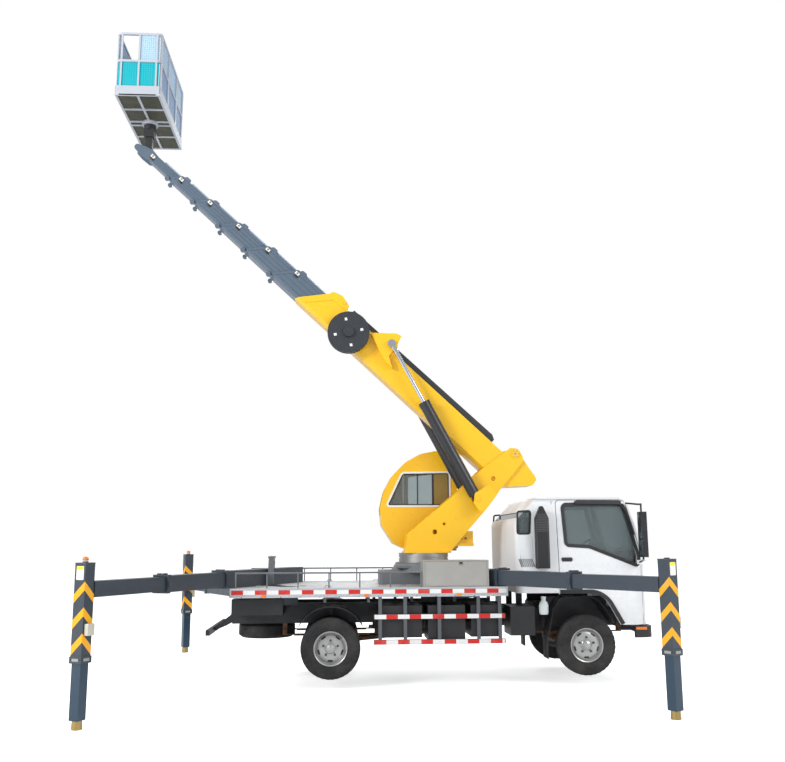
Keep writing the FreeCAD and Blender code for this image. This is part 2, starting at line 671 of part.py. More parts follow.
def fenders_and_underrun():
    made = []
    # liners over the front wheels, with a flap behind each
    sheet = 6.0
    for side in (-1, 1):
        lo, hi = min(side * 560, side * LINER_OUT), max(side * 560, side * LINER_OUT)
        x = FRONT_AXLE_X
        bend = [(x - 500, 600), (x - 500 + sheet, 600), (x - 430 + sheet, 960, 80), (x - 310, ARCH_TOP - 40 - sheet, 120),
                (x + 160, ARCH_TOP - 40 - sheet, 200), (x + 400 - sheet, 780), (x + 400, 784),
                (x + 163, ARCH_TOP - 40, 206), (x - 313, ARCH_TOP - 40, 126), (x - 430, 960, 86)]
        liner = side_prism(bend, lo, hi)
        rail_out = side * (RAIL_Y + RAIL_W / 2)
        stays = []
        for z in (830, 900):
            end = side * 570
            at = x - 500 + (z - 600) * 70.0 / 360.0
            stays.append(box(at + 2, at + 60, min(rail_out, end), max(rail_out, end), z, z + 30))
        made.append(fuse([liner] + stays))
    for side in (-1, 1):
        y0, y1 = min(side * 580, side * (DECK_HALF - 25)), max(side * 580, side * (DECK_HALF - 25))
        outer, inner = 470.0, 462.0
        ring = tube(V(REAR_AXLE_X, y0, AXLE_Z + 60), V(REAR_AXLE_X, y1, AXLE_Z + 60), outer, inner)
        keep = box(REAR_AXLE_X - 480, REAR_AXLE_X + 480, y0 - 1, y1 + 1, 790, 1200)
        arc = ring.common(keep)
        rail_out = side * (RAIL_Y + RAIL_W / 2)
        stay = box(REAR_AXLE_X - 20, REAR_AXLE_X + 20, min(rail_out, side * 600), max(rail_out, side * 600),
                   900, 940)
        post = box(REAR_AXLE_X - 20, REAR_AXLE_X + 20, min(side * 585, side * 610), max(side * 585, side * 610),
                   900, AXLE_Z + 60 + inner + 3)
        made.append(fuse([arc, stay, post]))
    # curved underrun bar under the tail
    bar = []
    for side in (-1, 1):
        y = side * RAIL_Y
        x = FRAME_REAR_X
        bar.append(side_prism([(x + 10, 960), (x + 190, 960), (x + 190, 900), (x - 70, 760, 60), (x - 240, 690),
                               (x - 280, 720), (x - 120, 820, 60), (x - 20, 900)], y - 30, y + 30).cut(
            box(x, x + 290, y - 40, y + 40, RAIL_BOTTOM, RAIL_TOP)))
    bar.append(front_prism([(-900, 675, 10), (900, 675, 10), (900, 745, 10), (-900, 745, 10)],
                           FRAME_REAR_X - 280, FRAME_REAR_X - 230))
    made.append(fuse(bar))
    return made


def spare_wheel():
    """Lies flat under the tail, hung from the frame."""
    x, z = REAR_AXLE_X - 890, RAIL_BOTTOM
    centre = V(x, 0, z - 8 - TYRE_W / 2)
    ring = revolved(tyre_profile(), centre, V(1, 0, 0), V(0, 0, 1))
    disc = rod(V(x, 0, z - 125), V(x, 0, z - 110), RIM_R - 7)
    hanger = box(x - 40, x + 40, -30, 30, z - 111, RAIL_BOTTOM + 60)
    web = RAIL_Y + 24
    cross = box(x - 40, x + 40, -web, web, RAIL_BOTTOM + 40, RAIL_BOTTOM + 70)
    return fuse([ring, disc, hanger, cross])


def pedestal_and_rest(boxes):
    """The turret's base between the beam boxes, and the boom's travel rest."""
    base = plan_prism([(SLEW_X - 640, -330, 40), (SLEW_X + 560, -330, 40), (SLEW_X + 560, 330, 40),
                       (SLEW_X - 640, 330, 40)], DECK_TOP, DECK_TOP + 190)
    cone = Part.makeCone(470, 390, PEDESTAL_TOP - DECK_TOP - 180, V(SLEW_X, 0, DECK_TOP + 180))
    flange = rod(V(SLEW_X, 0, PEDESTAL_TOP - 25), V(SLEW_X, 0, PEDESTAL_TOP), 400)
    top = box(SLEW_X - 400, SLEW_X + 400, -380, 380, DECK_TOP + BEAM_BOX + 1, DECK_TOP + BEAM_BOX + 30)
    solid = fuse([base, cone, flange, top])
    for b in boxes:
        solid = solid.cut(b)
    made = [max(solid.Solids, key=lambda s: s.Volume)]
    x = REAR_MOUTH_X + 600
    top = REST_TOP - 25
    rest = side_prism([(x - 45, DECK_TOP), (x + 45, DECK_TOP), (x + 30, top, 20), (x - 30, top, 20)], -215, -155)
    for b in boxes:
        rest = rest.cut(b)
    rest = max(rest.Solids, key=lambda piece: piece.Volume)
    head = box(x - 30, x + 30, -215, 180, top - 40, top)
    pad = box(x - 40, x + 40, -200, 180, top - 1, REST_TOP)
    leg_far = box(x - 30, x + 30, 120, 180, UPPER_Z + BEAM_BOX / 2.0, top + 1)
    made.append(fuse([rest, head, pad, leg_far]))
    return made




def toolbox_plan(inset):
    """The corner next to the front beam box is cut off along it."""
    i = inset
    return [(TOOL_REAR + i, TOOL_OUT + i), (TOOL_FRONT - i, TOOL_OUT + i), (TOOL_FRONT - i, TOOL_OUT + 158 - 0.6 * i),
            (TOOL_FRONT - 122 - 0.6 * i, TOOL_IN - i), (TOOL_REAR + i, TOOL_IN - i)]


def toolbox_hinge(starts, length):
    """Knuckles along the bottom edge of the toolbox's outer face."""
    made = []
    for x in starts:
        axis = V(x, TOOL_OUT - TOOL_HINGE_R - FIT, TOOL_HINGE_Z)
        made.append(rod(axis, axis + V(length, 0, 0), TOOL_HINGE_R))
    return made


def toolbox():
    """Closed on top; its outer face is open behind the door."""
    shell = plan_prism(toolbox_plan(0), DECK_TOP, TOOL_TOP)
    shell = shell.cut(plan_prism(toolbox_plan(SHEET), DECK_TOP + SHEET, TOOL_TOP - SHEET))
    mouth = box(TOOL_REAR + 25, TOOL_FRONT - 25, TOOL_OUT - 1, TOOL_OUT + SHEET + 1, TOOL_HINGE_Z + 20, TOOL_TOP - 25)
    shell = shell.cut(mouth)
    parts = [shell]
    for x in (TOOL_REAR + 191, TOOL_FRONT - 239):
        parts.extend(toolbox_hinge([x], 48))
        parts.append(box(x, x + 48, TOOL_OUT - TOOL_HINGE_R, TOOL_OUT + 1, TOOL_HINGE_Z - 4, TOOL_HINGE_Z + 4))
    return fuse(parts)


def toolbox_door():
    """Hinged along its bottom edge, with the latch near the top."""
    skin = TOOL_OUT - FIT
    panel = box(TOOL_REAR + 6, TOOL_FRONT - 6, skin - 8, skin, TOOL_HINGE_Z + 7, TOOL_TOP - 6)
    middle = (TOOL_REAR + TOOL_FRONT) / 2.0
    latch = box(middle + 40, middle + 90, skin - 16, skin - 7, TOOL_TOP - 60, TOOL_TOP - 16)
    starts = (TOOL_REAR + 100, TOOL_REAR + 240, TOOL_FRONT - 330, TOOL_FRONT - 190)
    straps = [box(x, x + 90, skin - 7, skin - 1, TOOL_HINGE_Z, TOOL_HINGE_Z + 8) for x in starts]
    return fuse([panel, latch] + straps + toolbox_hinge(starts, 90))


# ---------------------------------------------------------------- truck cab

def cab_form(inset):
    """The cab's outside, or its inside, with its corners cut flat, when inset is the wall."""
    i = inset

    def corner(r):
        return r if not inset else inset - r

    roof = CAB_ROOF + ROOF_CAMBER - i
    points = [(CAB_REAR + i, CAB_FLOOR + i), (CAB_REAR + i, 2120, corner(200)), (2230, roof, corner(220)),
              (3400, roof, corner(150)), (3650 - i, 1640, corner(120)), (CAB_FRONT - i, 1500, corner(60))]
    if inset:
        points.append((CAB_FRONT - i, CAB_FLOOR + i))
    else:
        points.extend([(CAB_FRONT, CAB_SKIRT), (DOOR_REAR - 6, CAB_SKIRT), (DOOR_REAR - 6, CAB_FLOOR)])
    side = side_prism(points, -CAB_HALF - 200, CAB_HALF + 200)
    eaves = CAB_ROOF - ROOF_CAMBER - i
    front = front_prism([
        (-CAB_HALF + i, 700), (-CAB_HALF + i, 1560), (-EAVES_HALF + i, eaves, corner(130)), (0, CAB_ROOF - i),
        (EAVES_HALF - i, eaves, corner(130)), (CAB_HALF - i, 1560), (CAB_HALF - i, 700)], 1700, 3800)
    nose = CAB_FRONT - 40 - i
    plan = plan_prism([
        (CAB_REAR + i, -CAB_HALF + i, corner(110)), (nose, -CAB_HALF + i, corner(230)), (CAB_FRONT - i, 0),
        (nose, CAB_HALF - i, corner(230)), (CAB_REAR + i, CAB_HALF - i, corner(110))], 650, 2600)
    return side.common(front).common(plan)


def skirt_space():
    """The room below the floor, inside the skirts."""
    i = CAB_WALL
    nose = CAB_FRONT - 40 - i
    return plan_prism([
        (CAB_REAR - 50, -CAB_HALF + i), (nose, -CAB_HALF + i, i - 230), (CAB_FRONT - i, 0),
        (nose, CAB_HALF - i, i - 230), (CAB_REAR - 50, CAB_HALF - i)], 650, CAB_FLOOR)


def arch_cut(gap):
    """The wheel's opening: level on top, sloping down to the front."""
    g = gap
    return side_prism([(ARCH_REAR, 500), (ARCH_REAR, ARCH_TOP + g), (ARCH_FRONT - 209 + 0.6 * g, ARCH_TOP + g, ARCH_CORNER),
                       (ARCH_FRONT + 165 + 0.6 * g, 500)], -CAB_HALF - 300, CAB_HALF + 300)


def door_zone(gap):
    g = gap
    return [(DOOR_REAR + g, CAB_SKIRT + g), (DOOR_REAR + g, DOOR_TOP - g, 60), (3400 - g, DOOR_TOP - g, 60),
            (DOOR_FRONT - g, 1700 - 5 * g, 40), (DOOR_FRONT - g, CAB_SKIRT + g)]


def side_window(gap):
    g = gap
    return [(2572 + g, 1806 + g, 40), (2550 + g, 2335 - g, 50), (3355 - g, 2335 - g, 40), (3530 - g, 1650, 60),
            (3515 - g, 1532 + 1.1 * g, 30), (2880, 1786 + g, 100)]


def door_fittings():
    """Hinge pins in the gap before the right door's front edge, and its mirror on two arms."""
    pin_x = DOOR_FRONT - DOOR_GAP / 2
    made = []
    for z in (900, 1560):
        made.append(rod(V(pin_x, -DOOR_PIN_Y, z), V(pin_x, -DOOR_PIN_Y, z + 90), DOOR_GAP / 2 - FIT))
        made.append(box(pin_x - 16, pin_x, -DOOR_PIN_Y, -DOOR_PIN_Y + 8, z, z + 90))
    arm_y = -CAB_HALF - 160
    made.extend(rail_tube([V(3330, -EAVES_HALF, 2364), V(3500, arm_y, 2330), V(3545, arm_y, 2330),
                           V(3545, arm_y, 1600), V(3530, -CAB_HALF + 24, 1560)], 12))
    made.append(box(3515, 3585, arm_y - 95, arm_y + 80, 1640, 2230))
    return made


def cab_solids():
    outer = cab_form(0)
    inner = cab_form(CAB_WALL)
    mid_out = cab_form(CAB_WALL * 0.35)
    mid_in = cab_form(CAB_WALL * 0.5)
    space = skirt_space()
    arch = arch_cut(0)
    shell = outer.cut(inner).cut(space).cut(arch)
    lugs = []
    for side in (-1, 1):
        y = side * HINGE_LUG_Y
        lug = side_prism([(TILT_HINGE.x - 42, TILT_HINGE.z), (TILT_HINGE.x - 230, CAB_FLOOR + 2),
                          (TILT_HINGE.x - 60, CAB_FLOOR + 2), (TILT_HINGE.x + 42, TILT_HINGE.z)], y - 12, y + 12)
        eye = rod(V(TILT_HINGE.x, y - 12, TILT_HINGE.z), V(TILT_HINGE.x, y + 12, TILT_HINGE.z), 42)
        bore = rod(V(TILT_HINGE.x, y - 13, TILT_HINGE.z), V(TILT_HINGE.x, y + 13, TILT_HINGE.z),
                   HINGE_PIN_R + RUN)
        lugs.append(fuse([lug, eye]).cut(bore))
    shell = fuse([shell] + lugs)
    panes = mid_out.cut(mid_in)
    near, far = -CAB_HALF - 100, -CAB_HALF + 145
    zone = side_prism(door_zone(0), near, far)
    window = side_prism(side_window(0), near, far)
    leaf = outer.cut(inner).cut(space).common(side_prism(door_zone(DOOR_GAP), near, far))
    leaf = leaf.cut(arch_cut(DOOR_GAP)).cut(window)
    leaf = max(leaf.Solids, key=lambda piece: piece.Volume)
    door = fuse([leaf] + door_fittings())
    door_glass = panes.common(side_prism(side_window(FIT), near, far))
    door_glass = max(door_glass.Solids, key=lambda piece: piece.Volume)
    shell = shell.cut(zone).cut(mirror_y(zone))
    doors = [door, mirror_y(door)]
    door_panes = [door_glass, mirror_y(door_glass)]
    # windscreen and rear quarter windows
    half, low, high = SCREEN_HALF, 1700, 2330
    screen = front_prism([(-half, low, 60), (half, low, 60), (half - 30, high, 80), (-half + 30, high, 80)],
                         3200, 3800)
    f = FIT
    screen_in = front_prism([(-half + f, low + f, 60), (half - f, low + f, 60), (half - 30 - f, high - f, 80),
                             (-half + 30 + f, high - f, 80)], 3200, 3800)
    wide = CAB_HALF + 200
    quarter = side_prism([(1918, 1955, 25), (2078, 1955, 25), (2105, 2255, 25), (1934, 2245, 25)], -wide, wide)
    quarter_in = side_prism([(1918 + f, 1955 + f, 25), (2078 - f, 1955 + f, 25), (2105 - f, 2255 - f, 25),
                             (1934 + f, 2245 - f, 25)], -wide, wide)
    shell = shell.cut(screen).cut(quarter)
    glass = [panes.common(screen_in), panes.common(quarter_in)]
    return shell, glass, doors, door_panes


def cab_interior():
    made = []
    floor = CAB_FLOOR + CAB_WALL + FIT
    for y in (-430, 430):
        seat = fuse([box(2250, 2760, y - 230, y + 230, floor, 1470), box(2110, 2260, y - 230, y + 230, floor, 2010),
                     box(2130, 2220, y - 130, y + 130, 2000, 2180)])
        made.append(seat)
    dash = side_prism([(3340, floor), (3560, floor), (3560, 1590, 20), (3400, 1640, 30), (3300, 1560, 30)],
                      -CAB_HALF + 180, CAB_HALF - 180)
    column = rod(V(3340, 430, 1560), V(3150, 430, 1700), 24)
    wheel = revolved([(196, -10), (224, -10), (224, 10), (196, 10)], V(3150, 430, 1700), V(0, 1, 0), V(-0.8, 0, 0.6))
    spokes = rod(V(3150, 230, 1700), V(3150, 630, 1700), 11)
    made.append(fuse([dash, column, wheel, spokes]))
    return made


def cab_trim():
    """The air intake behind the cab."""
    made = []
    made.append(side_prism([(2140, 1500), (2320, 1500), (2320, 2150), (2225, 2360, 30), (2140, 2150)],
                           -CAB_HALF - 78, -CAB_HALF - FIT))
    return made


# ---------------------------------------------------------------- turret

CHEEK_OUTLINE = [(469, 1700), (500, 1957, 30), (1326, 2640), (1561, 2862), (2000, 3180, 40), (2110, 3165, 60),
                 (2180, 3040, 40), (2170, 2970, 30), (1885, 2643), (1613, 2288), (1354, 2001), (1097, 1700)]


def turntable_ring():
    ring = tube(V(SLEW_X, 0, PEDESTAL_TOP + FIT), V(SLEW_X, 0, RING_TOP), RING_R, 200)
    groove = tube(V(SLEW_X, 0, PEDESTAL_TOP + 55), V(SLEW_X, 0, PEDESTAL_TOP + 70), RING_R + 1, RING_R - 10)
    return ring.cut(groove)


def turntable_frame():
    parts = []
    base = plan_prism([(455, -330, 60), (1110, -330, 60), (1110, 330, 60), (455, 330, 60)], RING_TOP, RING_TOP + 25)
    parts.append(base)
    for side in (-1, 1):
        lo, hi = min(side * CHEEK_IN, side * CHEEK_OUT), max(side * CHEEK_IN, side * CHEEK_OUT)
        plate = side_prism(CHEEK_OUTLINE, lo, hi)
        for x, z, r in ((1023, 2101, 20), (888, 1990, 34), (1739, 2737, 34)):
            plate = plate.cut(rod(V(x, lo - 1, z), V(x, hi + 1, z), r))
        parts.append(plate)
        # outer ear of the lift cylinder's foot, with its spacer
        ear_in = side * (CYL_Y + BARREL_R + CLEAR + 1)
        ear_out = ear_in + side * 20
        ear = side_prism([(1420, 2390, 30), (1500, 2270, 30), (1590, 2290), (1760, 2505, 30), (1640, 2640, 30),
                          (1440, 2520, 30)], min(ear_in, ear_out), max(ear_in, ear_out))
        spacer = side_prism([(1600, 2330), (1740, 2500), (1650, 2600), (1590, 2530)],
                            min(side * CHEEK_OUT, ear_in + side), max(side * CHEEK_OUT, ear_in + side))
        pin = rod(CYL_FOOT + V(0, side * (CHEEK_IN + 2), 0), CYL_FOOT + V(0, ear_out + side * 14, 0), CYL_PIN_R)
        parts.extend([ear, spacer, pin])
        arm_y = side * (CHEEK_OUT + 14)
        cap = rod(PIVOT + V(0, side * (CHEEK_OUT - 1), 0), PIVOT + V(0, arm_y, 0), 62)
        parts.append(cap)
    parts.append(rod(PIVOT + V(0, -CHEEK_OUT, 0), PIVOT + V(0, CHEEK_OUT, 0), PIVOT_R))
    back = side_prism([(1097, 1700), (1354, 2001), (1613, 2288), (1590, 2306), (1330, 2020), (1065, 1715)],
                      -CHEEK_IN - 1, CHEEK_IN + 1)
    front = side_prism([(480, 1710), (505, 1962), (900, 2290), (920, 2270), (530, 1945), (505, 1710)],
                       -CHEEK_IN - 1, CHEEK_IN + 1)
    parts.extend([back, front])
    # bracket under the operator's cab and the valve box behind it
    parts.append(box(560, 1250, CHEEK_OUT - 1, OPC_OUT - 60, RING_TOP + 25, RING_TOP + 55))
    parts.append(box(700, 1050, 320, CHEEK_OUT + 130, RING_TOP + 1, RING_TOP + 26))
    parts.append(box(1060, 1440, -CHEEK_IN - 1, CHEEK_OUT + 60, 1790, 1830))
    parts.append(box(1180, 1440, -150, CHEEK_OUT + 60, 1829, 2000))
    return fuse(parts)


OPC_FLOOR = RING_TOP + 55.0


def operator_form(i):
    pts = [(500 + i, OPC_FLOOR + FIT + i, 20), (340 + i, 1830, 60), (172 + i, 2090, 80), (144 + i, 2340, 200),
           (205 + i, 2600, 260), (330 + i, 2830, 260), (530 + i * 0.8, 3030 - i * 0.6, 300),
           (760 + i * 0.4, 3155 - i, 300), (1000, 3200 - i, 200), (OPC_REAR - i, 3120 - i, 80),
           (OPC_REAR - i, OPC_FLOOR + FIT + i, 20)]
    return side_prism(pts, OPC_IN + i, OPC_OUT - i)


def operator_cab_solids():
    outer, inner = operator_form(0), operator_form(OPC_WALL)
    mid_out, mid_in = operator_form(OPC_WALL * 0.4), operator_form(OPC_WALL * 0.6)
    shell = outer.cut(inner)
    panes = mid_out.cut(mid_in)
    win = [(255, 2385, 20), (480, 2860, 60), (1180, 2870, 40), (1180, 2385, 40)]
    win_in = [(255 + FIT, 2385 + FIT, 20), (480 + FIT, 2860 - FIT, 60), (1180 - FIT, 2870 - FIT, 40),
              (1180 - FIT, 2385 + FIT, 40)]
    near = side_prism(win, OPC_IN - 20, OPC_IN + 60)
    near_in = side_prism(win_in, OPC_IN - 20, OPC_IN + 60)
    mid_y = (OPC_IN + OPC_OUT) / 2.0
    half = (OPC_OUT - OPC_IN) / 2.0 - 45
    front = box(100, 720, mid_y - half, mid_y + half, 2250, 3300).common(
        box(100, 700, mid_y - half, mid_y + half, 2250, 3120))
    front_in = box(100, 700 - FIT, mid_y - half + FIT, mid_y + half - FIT, 2250 + FIT, 3120 - FIT)
    door = [(520, OPC_FLOOR + 60), (700 - 180, 2900, 60), (1230, 2990, 60), (1230, OPC_FLOOR + 60)]
    door_in = [(520 + DOOR_GAP, OPC_FLOOR + 60 + DOOR_GAP), (520 + DOOR_GAP, 2900 - DOOR_GAP, 60),
               (1230 - DOOR_GAP, 2990 - DOOR_GAP, 60), (1230 - DOOR_GAP, OPC_FLOOR + 60 + DOOR_GAP)]
    door_zone_out = side_prism(door, OPC_OUT - 60, OPC_OUT + 20)
    leaf = shell.common(side_prism(door_in, OPC_OUT - 60, OPC_OUT + 20))
    leaf = leaf.cut(side_prism([(600, 2350, 30), (600, 2840, 30), (1170, 2900, 30), (1170, 2350, 30)],
                               OPC_OUT - 60, OPC_OUT + 20))
    shell = shell.cut(near).cut(front).cut(door_zone_out)
    glass = [panes.common(near_in), panes.common(front_in)]
    seat = fuse([box(760, 1180, mid_y - 190, mid_y + 190, OPC_FLOOR + OPC_WALL + FIT, 2200),
                 box(1120, 1220, mid_y - 190, mid_y + 190, OPC_FLOOR + OPC_WALL + FIT, 2780)])
    shells = [max(shell.Solids, key=lambda piece: piece.Volume), seat]
    leaf = max(leaf.Solids, key=lambda piece: piece.Volume)
    pin_y = OPC_OUT + 10 + FIT
    pins = []
    for z in (1950, 2800):
        pins.append(rod(V(1232, pin_y, z), V(1232, pin_y, z + 80), 10))
        pins.append(box(1190, 1221, OPC_OUT - 1, pin_y + 5, z, z + 80))
        pins.append(box(1220, 1232, OPC_OUT + FIT, pin_y + 5, z, z + 80))
    return shells, glass, fuse([leaf] + pins)


# ---------------------------------------------------------------- boom

def boom_base():
    outer, inner = boom_tube(BASE_TOP, BASE_BOTTOM, BOOM_HALF, 45, BASE_WALL, 120, BASE_HEAD + 200)
    shell = outer.cut(inner).cut(slant(BASE_HEAD, BASE_BOTTOM, BASE_TOP))
    parts = [shell]
    # root: solid cheeks round the pivot and the tail that holds the extension cylinder's foot
    root = [(160, BASE_TOP), (60, 40, 60), (-60, 60, 40), (-150, 24), (-265, -4), (-475, -50, 60), (-492, -163, 60),
            (-211, -447, 20), (-60, BASE_BOTTOM), (160, BASE_BOTTOM)]
    for side in (-1, 1):
        lo, hi = min(side * BOOM_HALF, side * (BOOM_HALF - 30)), max(side * BOOM_HALF, side * (BOOM_HALF - 30))
        parts.append(boom_prism(root, lo, hi))
        boss = rod(PIVOT + V(0, side * (BOOM_HALF - 60), 0), PIVOT + V(0, side * (CHEEK_IN - FIT), 0), 80)
        parts.append(boss)
    parts.append(boom_prism([(-150, 24), (-265, -4), (-475, -50, 60), (-492, -163, 60), (-211, -447, 20),
                             (-195, -420), (-455, -158, 40), (-445, -70, 40), (-262, -30), (-150, -4)],
                            -BOOM_HALF + 1, BOOM_HALF - 1))
    parts.append(boom_prism([(-211, -447), (-60, BASE_BOTTOM), (121, BASE_BOTTOM), (121, BASE_BOTTOM + BASE_WALL),
                             (-60, BASE_BOTTOM + BASE_WALL), (-200, -430)], -BOOM_HALF + 1, BOOM_HALF - 1))
    # head: doubler band along the slanted face and the sheave lobes
    for side in (-1, 1):
        lo = min(side * (BOOM_HALF - 1), side * (BOOM_HALF + 9))
        hi = max(side * (BOOM_HALF - 1), side * (BOOM_HALF + 9))
        low = slant_at(BASE_HEAD, BASE_BOTTOM, BASE_BOTTOM + 40)
        high = slant_at(BASE_HEAD, BASE_BOTTOM, BASE_TOP)
        band = boom_prism([(low, BASE_BOTTOM + 40), (low - 120, BASE_BOTTOM + 40), (high - 130, BASE_TOP),
                           (high, BASE_TOP)], lo, hi)
        parts.append(band)
        lo = min(side * (BOOM_HALF - 14), side * (BOOM_HALF + 9))
        hi = max(side * (BOOM_HALF - 14), side * (BOOM_HALF + 9))
        lobe = boom_prism([(high, BASE_TOP - 30), (high - 10, -40, 60), (3400, 8, 80), (3225, -42, 30),
                           (3190, BASE_TOP - 20)], lo, hi)
        parts.append(lobe)
    parts.append(rod(boom_point(3310, -50, -BOOM_HALF - 20), boom_point(3310, -50, BOOM_HALF + 20), 22))
    # lug bracket of the lift cylinders, a yoke over the top
    lug_a, lug_c = LUG
    for side in (-1, 1):
        lo, hi = min(side * (BOOM_HALF - 1), side * (CYL_Y - 32)), max(side * (BOOM_HALF - 1), side * (CYL_Y - 32))
        ear = boom_prism([(2714, -127, 10), (2432, 120, 40), (2350, 140, 30), (2305, 0, 20), (2294, -215, 10),
                          (2400, -260, 10)], lo, hi)
        parts.append(ear)
        stiff = boom_prism([(2300, -200), (2139, -300), (2250, -300), (2420, -250)], lo, hi)
        parts.append(stiff)
    parts.append(boom_prism([(2440, 60), (2420, 125), (2350, 135), (2330, 60)], -BOOM_HALF, BOOM_HALF))
    for side in (-1, 1):
        lo, hi = min(side * 120, side * BOOM_HALF), max(side * 120, side * BOOM_HALF)
        parts.append(boom_prism([(2470, BASE_TOP - 2), (2440, 61), (2330, 61), (2300, BASE_TOP - 2)], lo, hi))
    solid = fuse(parts)
    bore = rod(PIVOT + V(0, -CHEEK_IN, 0), PIVOT + V(0, CHEEK_IN, 0), PIVOT_R + RUN)
    return solid.cut(bore)


def cable_carrier():
    """The cable reel on the boom's right side, and the covered hose tray along its top."""
    a, c = REEL
    y = -BOOM_HALF
    disc = fuse([rod(boom_point(a, c, y - FIT), boom_point(a, c, y - 60), 60),
                 rod(boom_point(a, c, y - 50), boom_point(a, c, y - 75), REEL_R),
                 rod(boom_point(a, c, y - 74), boom_point(a, c, y - 120), 190),
                 rod(boom_point(a, c, y - 119), boom_point(a, c, y - 145), REEL_R),
                 rod(boom_point(a, c, y - 144), boom_point(a, c, y - 185), 75)])
    tray = boom_prism([(350, BASE_TOP + FIT), (350, -30), (420, 8, 20), (3150, -16, 10), (3150, BASE_TOP + FIT)],
                      -95, 95)
    return [disc, tray]


def section(i):
    """Telescopic section i, from 1, at its place in the working pose."""
    half = BOOM_HALF - BASE_WALL - SIDE_GAP - (i - 1) * (SECTION_WALL + SIDE_GAP)
    bottom = BASE_BOTTOM + BASE_WALL + CLEAR + (i - 1) * (SECTION_WALL + CLEAR)
    top = SECTION_1_TOP - (i - 1) * TOP_STEP
    head = BASE_HEAD + i * HEAD_PITCH
    rear = head - SECTION_LEN
    last = i == SECTIONS
    outer, inner = boom_tube(top, bottom, half, 38 - 3 * i, SECTION_WALL, rear, TIP_PIN[0] - 85 if last else head + 150)
    chamfer = 38 - 3 * i
    shell = outer.cut(inner)
    parts = []
    if not last:
        shell = shell.cut(slant(head, bottom, top))
        low = slant_at(head, bottom, bottom + 45)
        high = slant_at(head, bottom, top)
        for side in (-1, 1):
            lo = min(side * (half - 1), side * (half + 6))
            hi = max(side * (half - 1), side * (half + 6))
            parts.append(boom_prism([(low, bottom + 45), (low - 45, bottom + 45), (high - 50, top), (high, top)],
                                    lo, hi))
            parts.append(boom_prism([(high - 20, top - 20), (high - 60, top + 38, 30), (high - 140, top + 40, 30),
                                     (high - 175, top - 10)], min(side * (half - 12), side * (half + 6)),
                                    max(side * (half - 12), side * (half + 6))))
            knob = boom_point(head - 4, bottom - 20)
            knob_in = half - (chamfer - (KNOB_R - 20)) - SECTION_WALL
            parts.append(rod(knob + V(0, side * knob_in, 0), knob + V(0, side * (half + 16), 0), KNOB_R))
        parts.append(rod(boom_point(high - 100, top + 12, -half), boom_point(high - 100, top + 12, half), 16))
        parts.append(boom_prism([(high - 20, top - 4), (high - 60, top - 4), (high - 60, top + 6),
                                 (high - 20, top + 6)], -half + 2, half - 2))
    # wear pads: under the tail of this section's roof, and on its floor at the head for the next one
    outer_inside_top = BASE_TOP - BASE_WALL if i == 1 else SECTION_1_TOP - (i - 2) * TOP_STEP - SECTION_WALL
    parts.append(boom_prism([(rear + 10, top - 1), (rear + 110, top - 1), (rear + 110, outer_inside_top - FIT),
                             (rear + 10, outer_inside_top - FIT)], -half + 25, half - 25))
    if not last:
        next_bottom = bottom + SECTION_WALL + CLEAR
        parts.append(boom_prism([(head - 330, bottom + SECTION_WALL - 1), (head - 260, bottom + SECTION_WALL - 1),
                                 (head - 260, next_bottom - FIT), (head - 330, next_bottom - FIT)],
                                -half + 60, half - 60))
    if last:
        # the tip's cheeks and the basket's level pin
        a, c = TIP_PIN
        for side in (-1, 1):
            lo, hi = min(side * half, side * (half - 18)), max(side * half, side * (half - 18))
            parts.append(boom_prism([(a - 120, bottom), (a - 195, top), (a - 55, top + 20, 40), (a + 60, c + 40, 40),
                                     (a + TIP_LEN, c - 20, 40), (a + TIP_LEN, c - 95, 40), (a + 60, bottom - 30, 30),
                                     (a - 85, bottom - 22, 30)], lo, hi))
        parts.append(rod(boom_point(a, c, -half + 1), boom_point(a, c, half - 1), 30))
    return fuse([shell] + parts)


def base_pad():
    head = BASE_HEAD
    bottom = BASE_BOTTOM
    next_bottom = bottom + BASE_WALL + CLEAR
    return boom_prism([(head - 330, bottom + BASE_WALL - 1), (head - 260, bottom + BASE_WALL - 1),
                       (head - 260, next_bottom - FIT), (head - 330, next_bottom - FIT)],
                      -BOOM_HALF + 70, BOOM_HALF - 70)


# ---------------------------------------------------------------- lift cylinders

LUG_POINT = boom_point(LUG[0], LUG[1])
STROKE_LINE = LUG_POINT - CYL_FOOT
CYL_DIR = V(STROKE_LINE.x, 0, STROKE_LINE.z).normalize()
CYL_LEN = STROKE_LINE.Length
BARREL_LEN = 1560.0
ROD_LEN = 1630.0
GLAND = 60.0
PISTON = 40.0


def lift_barrels():
    made = []
    for side in (-1, 1):
        foot = CYL_FOOT + V(0, side * CYL_Y, 0)
        eye = rod(foot + V(0, -45, 0), foot + V(0, 45, 0), 66)
        body = rod(foot + CYL_DIR * 55, foot + CYL_DIR * BARREL_LEN, BARREL_R)
        gland = rod(foot + CYL_DIR * (BARREL_LEN - GLAND), foot + CYL_DIR * BARREL_LEN, BARREL_R + 4)
        solid = fuse([eye, body, gland])
        solid = solid.cut(rod(foot + CYL_DIR * 75, foot + CYL_DIR * (BARREL_LEN - GLAND), BARREL_R - 12))
        solid = solid.cut(rod(foot + CYL_DIR * 75, foot + CYL_DIR * (BARREL_LEN + 2), ROD_R + RUN))
        solid = solid.cut(rod(foot + V(0, -60, 0), foot + V(0, 60, 0), CYL_PIN_R + RUN))
        made.append(solid)
    return made


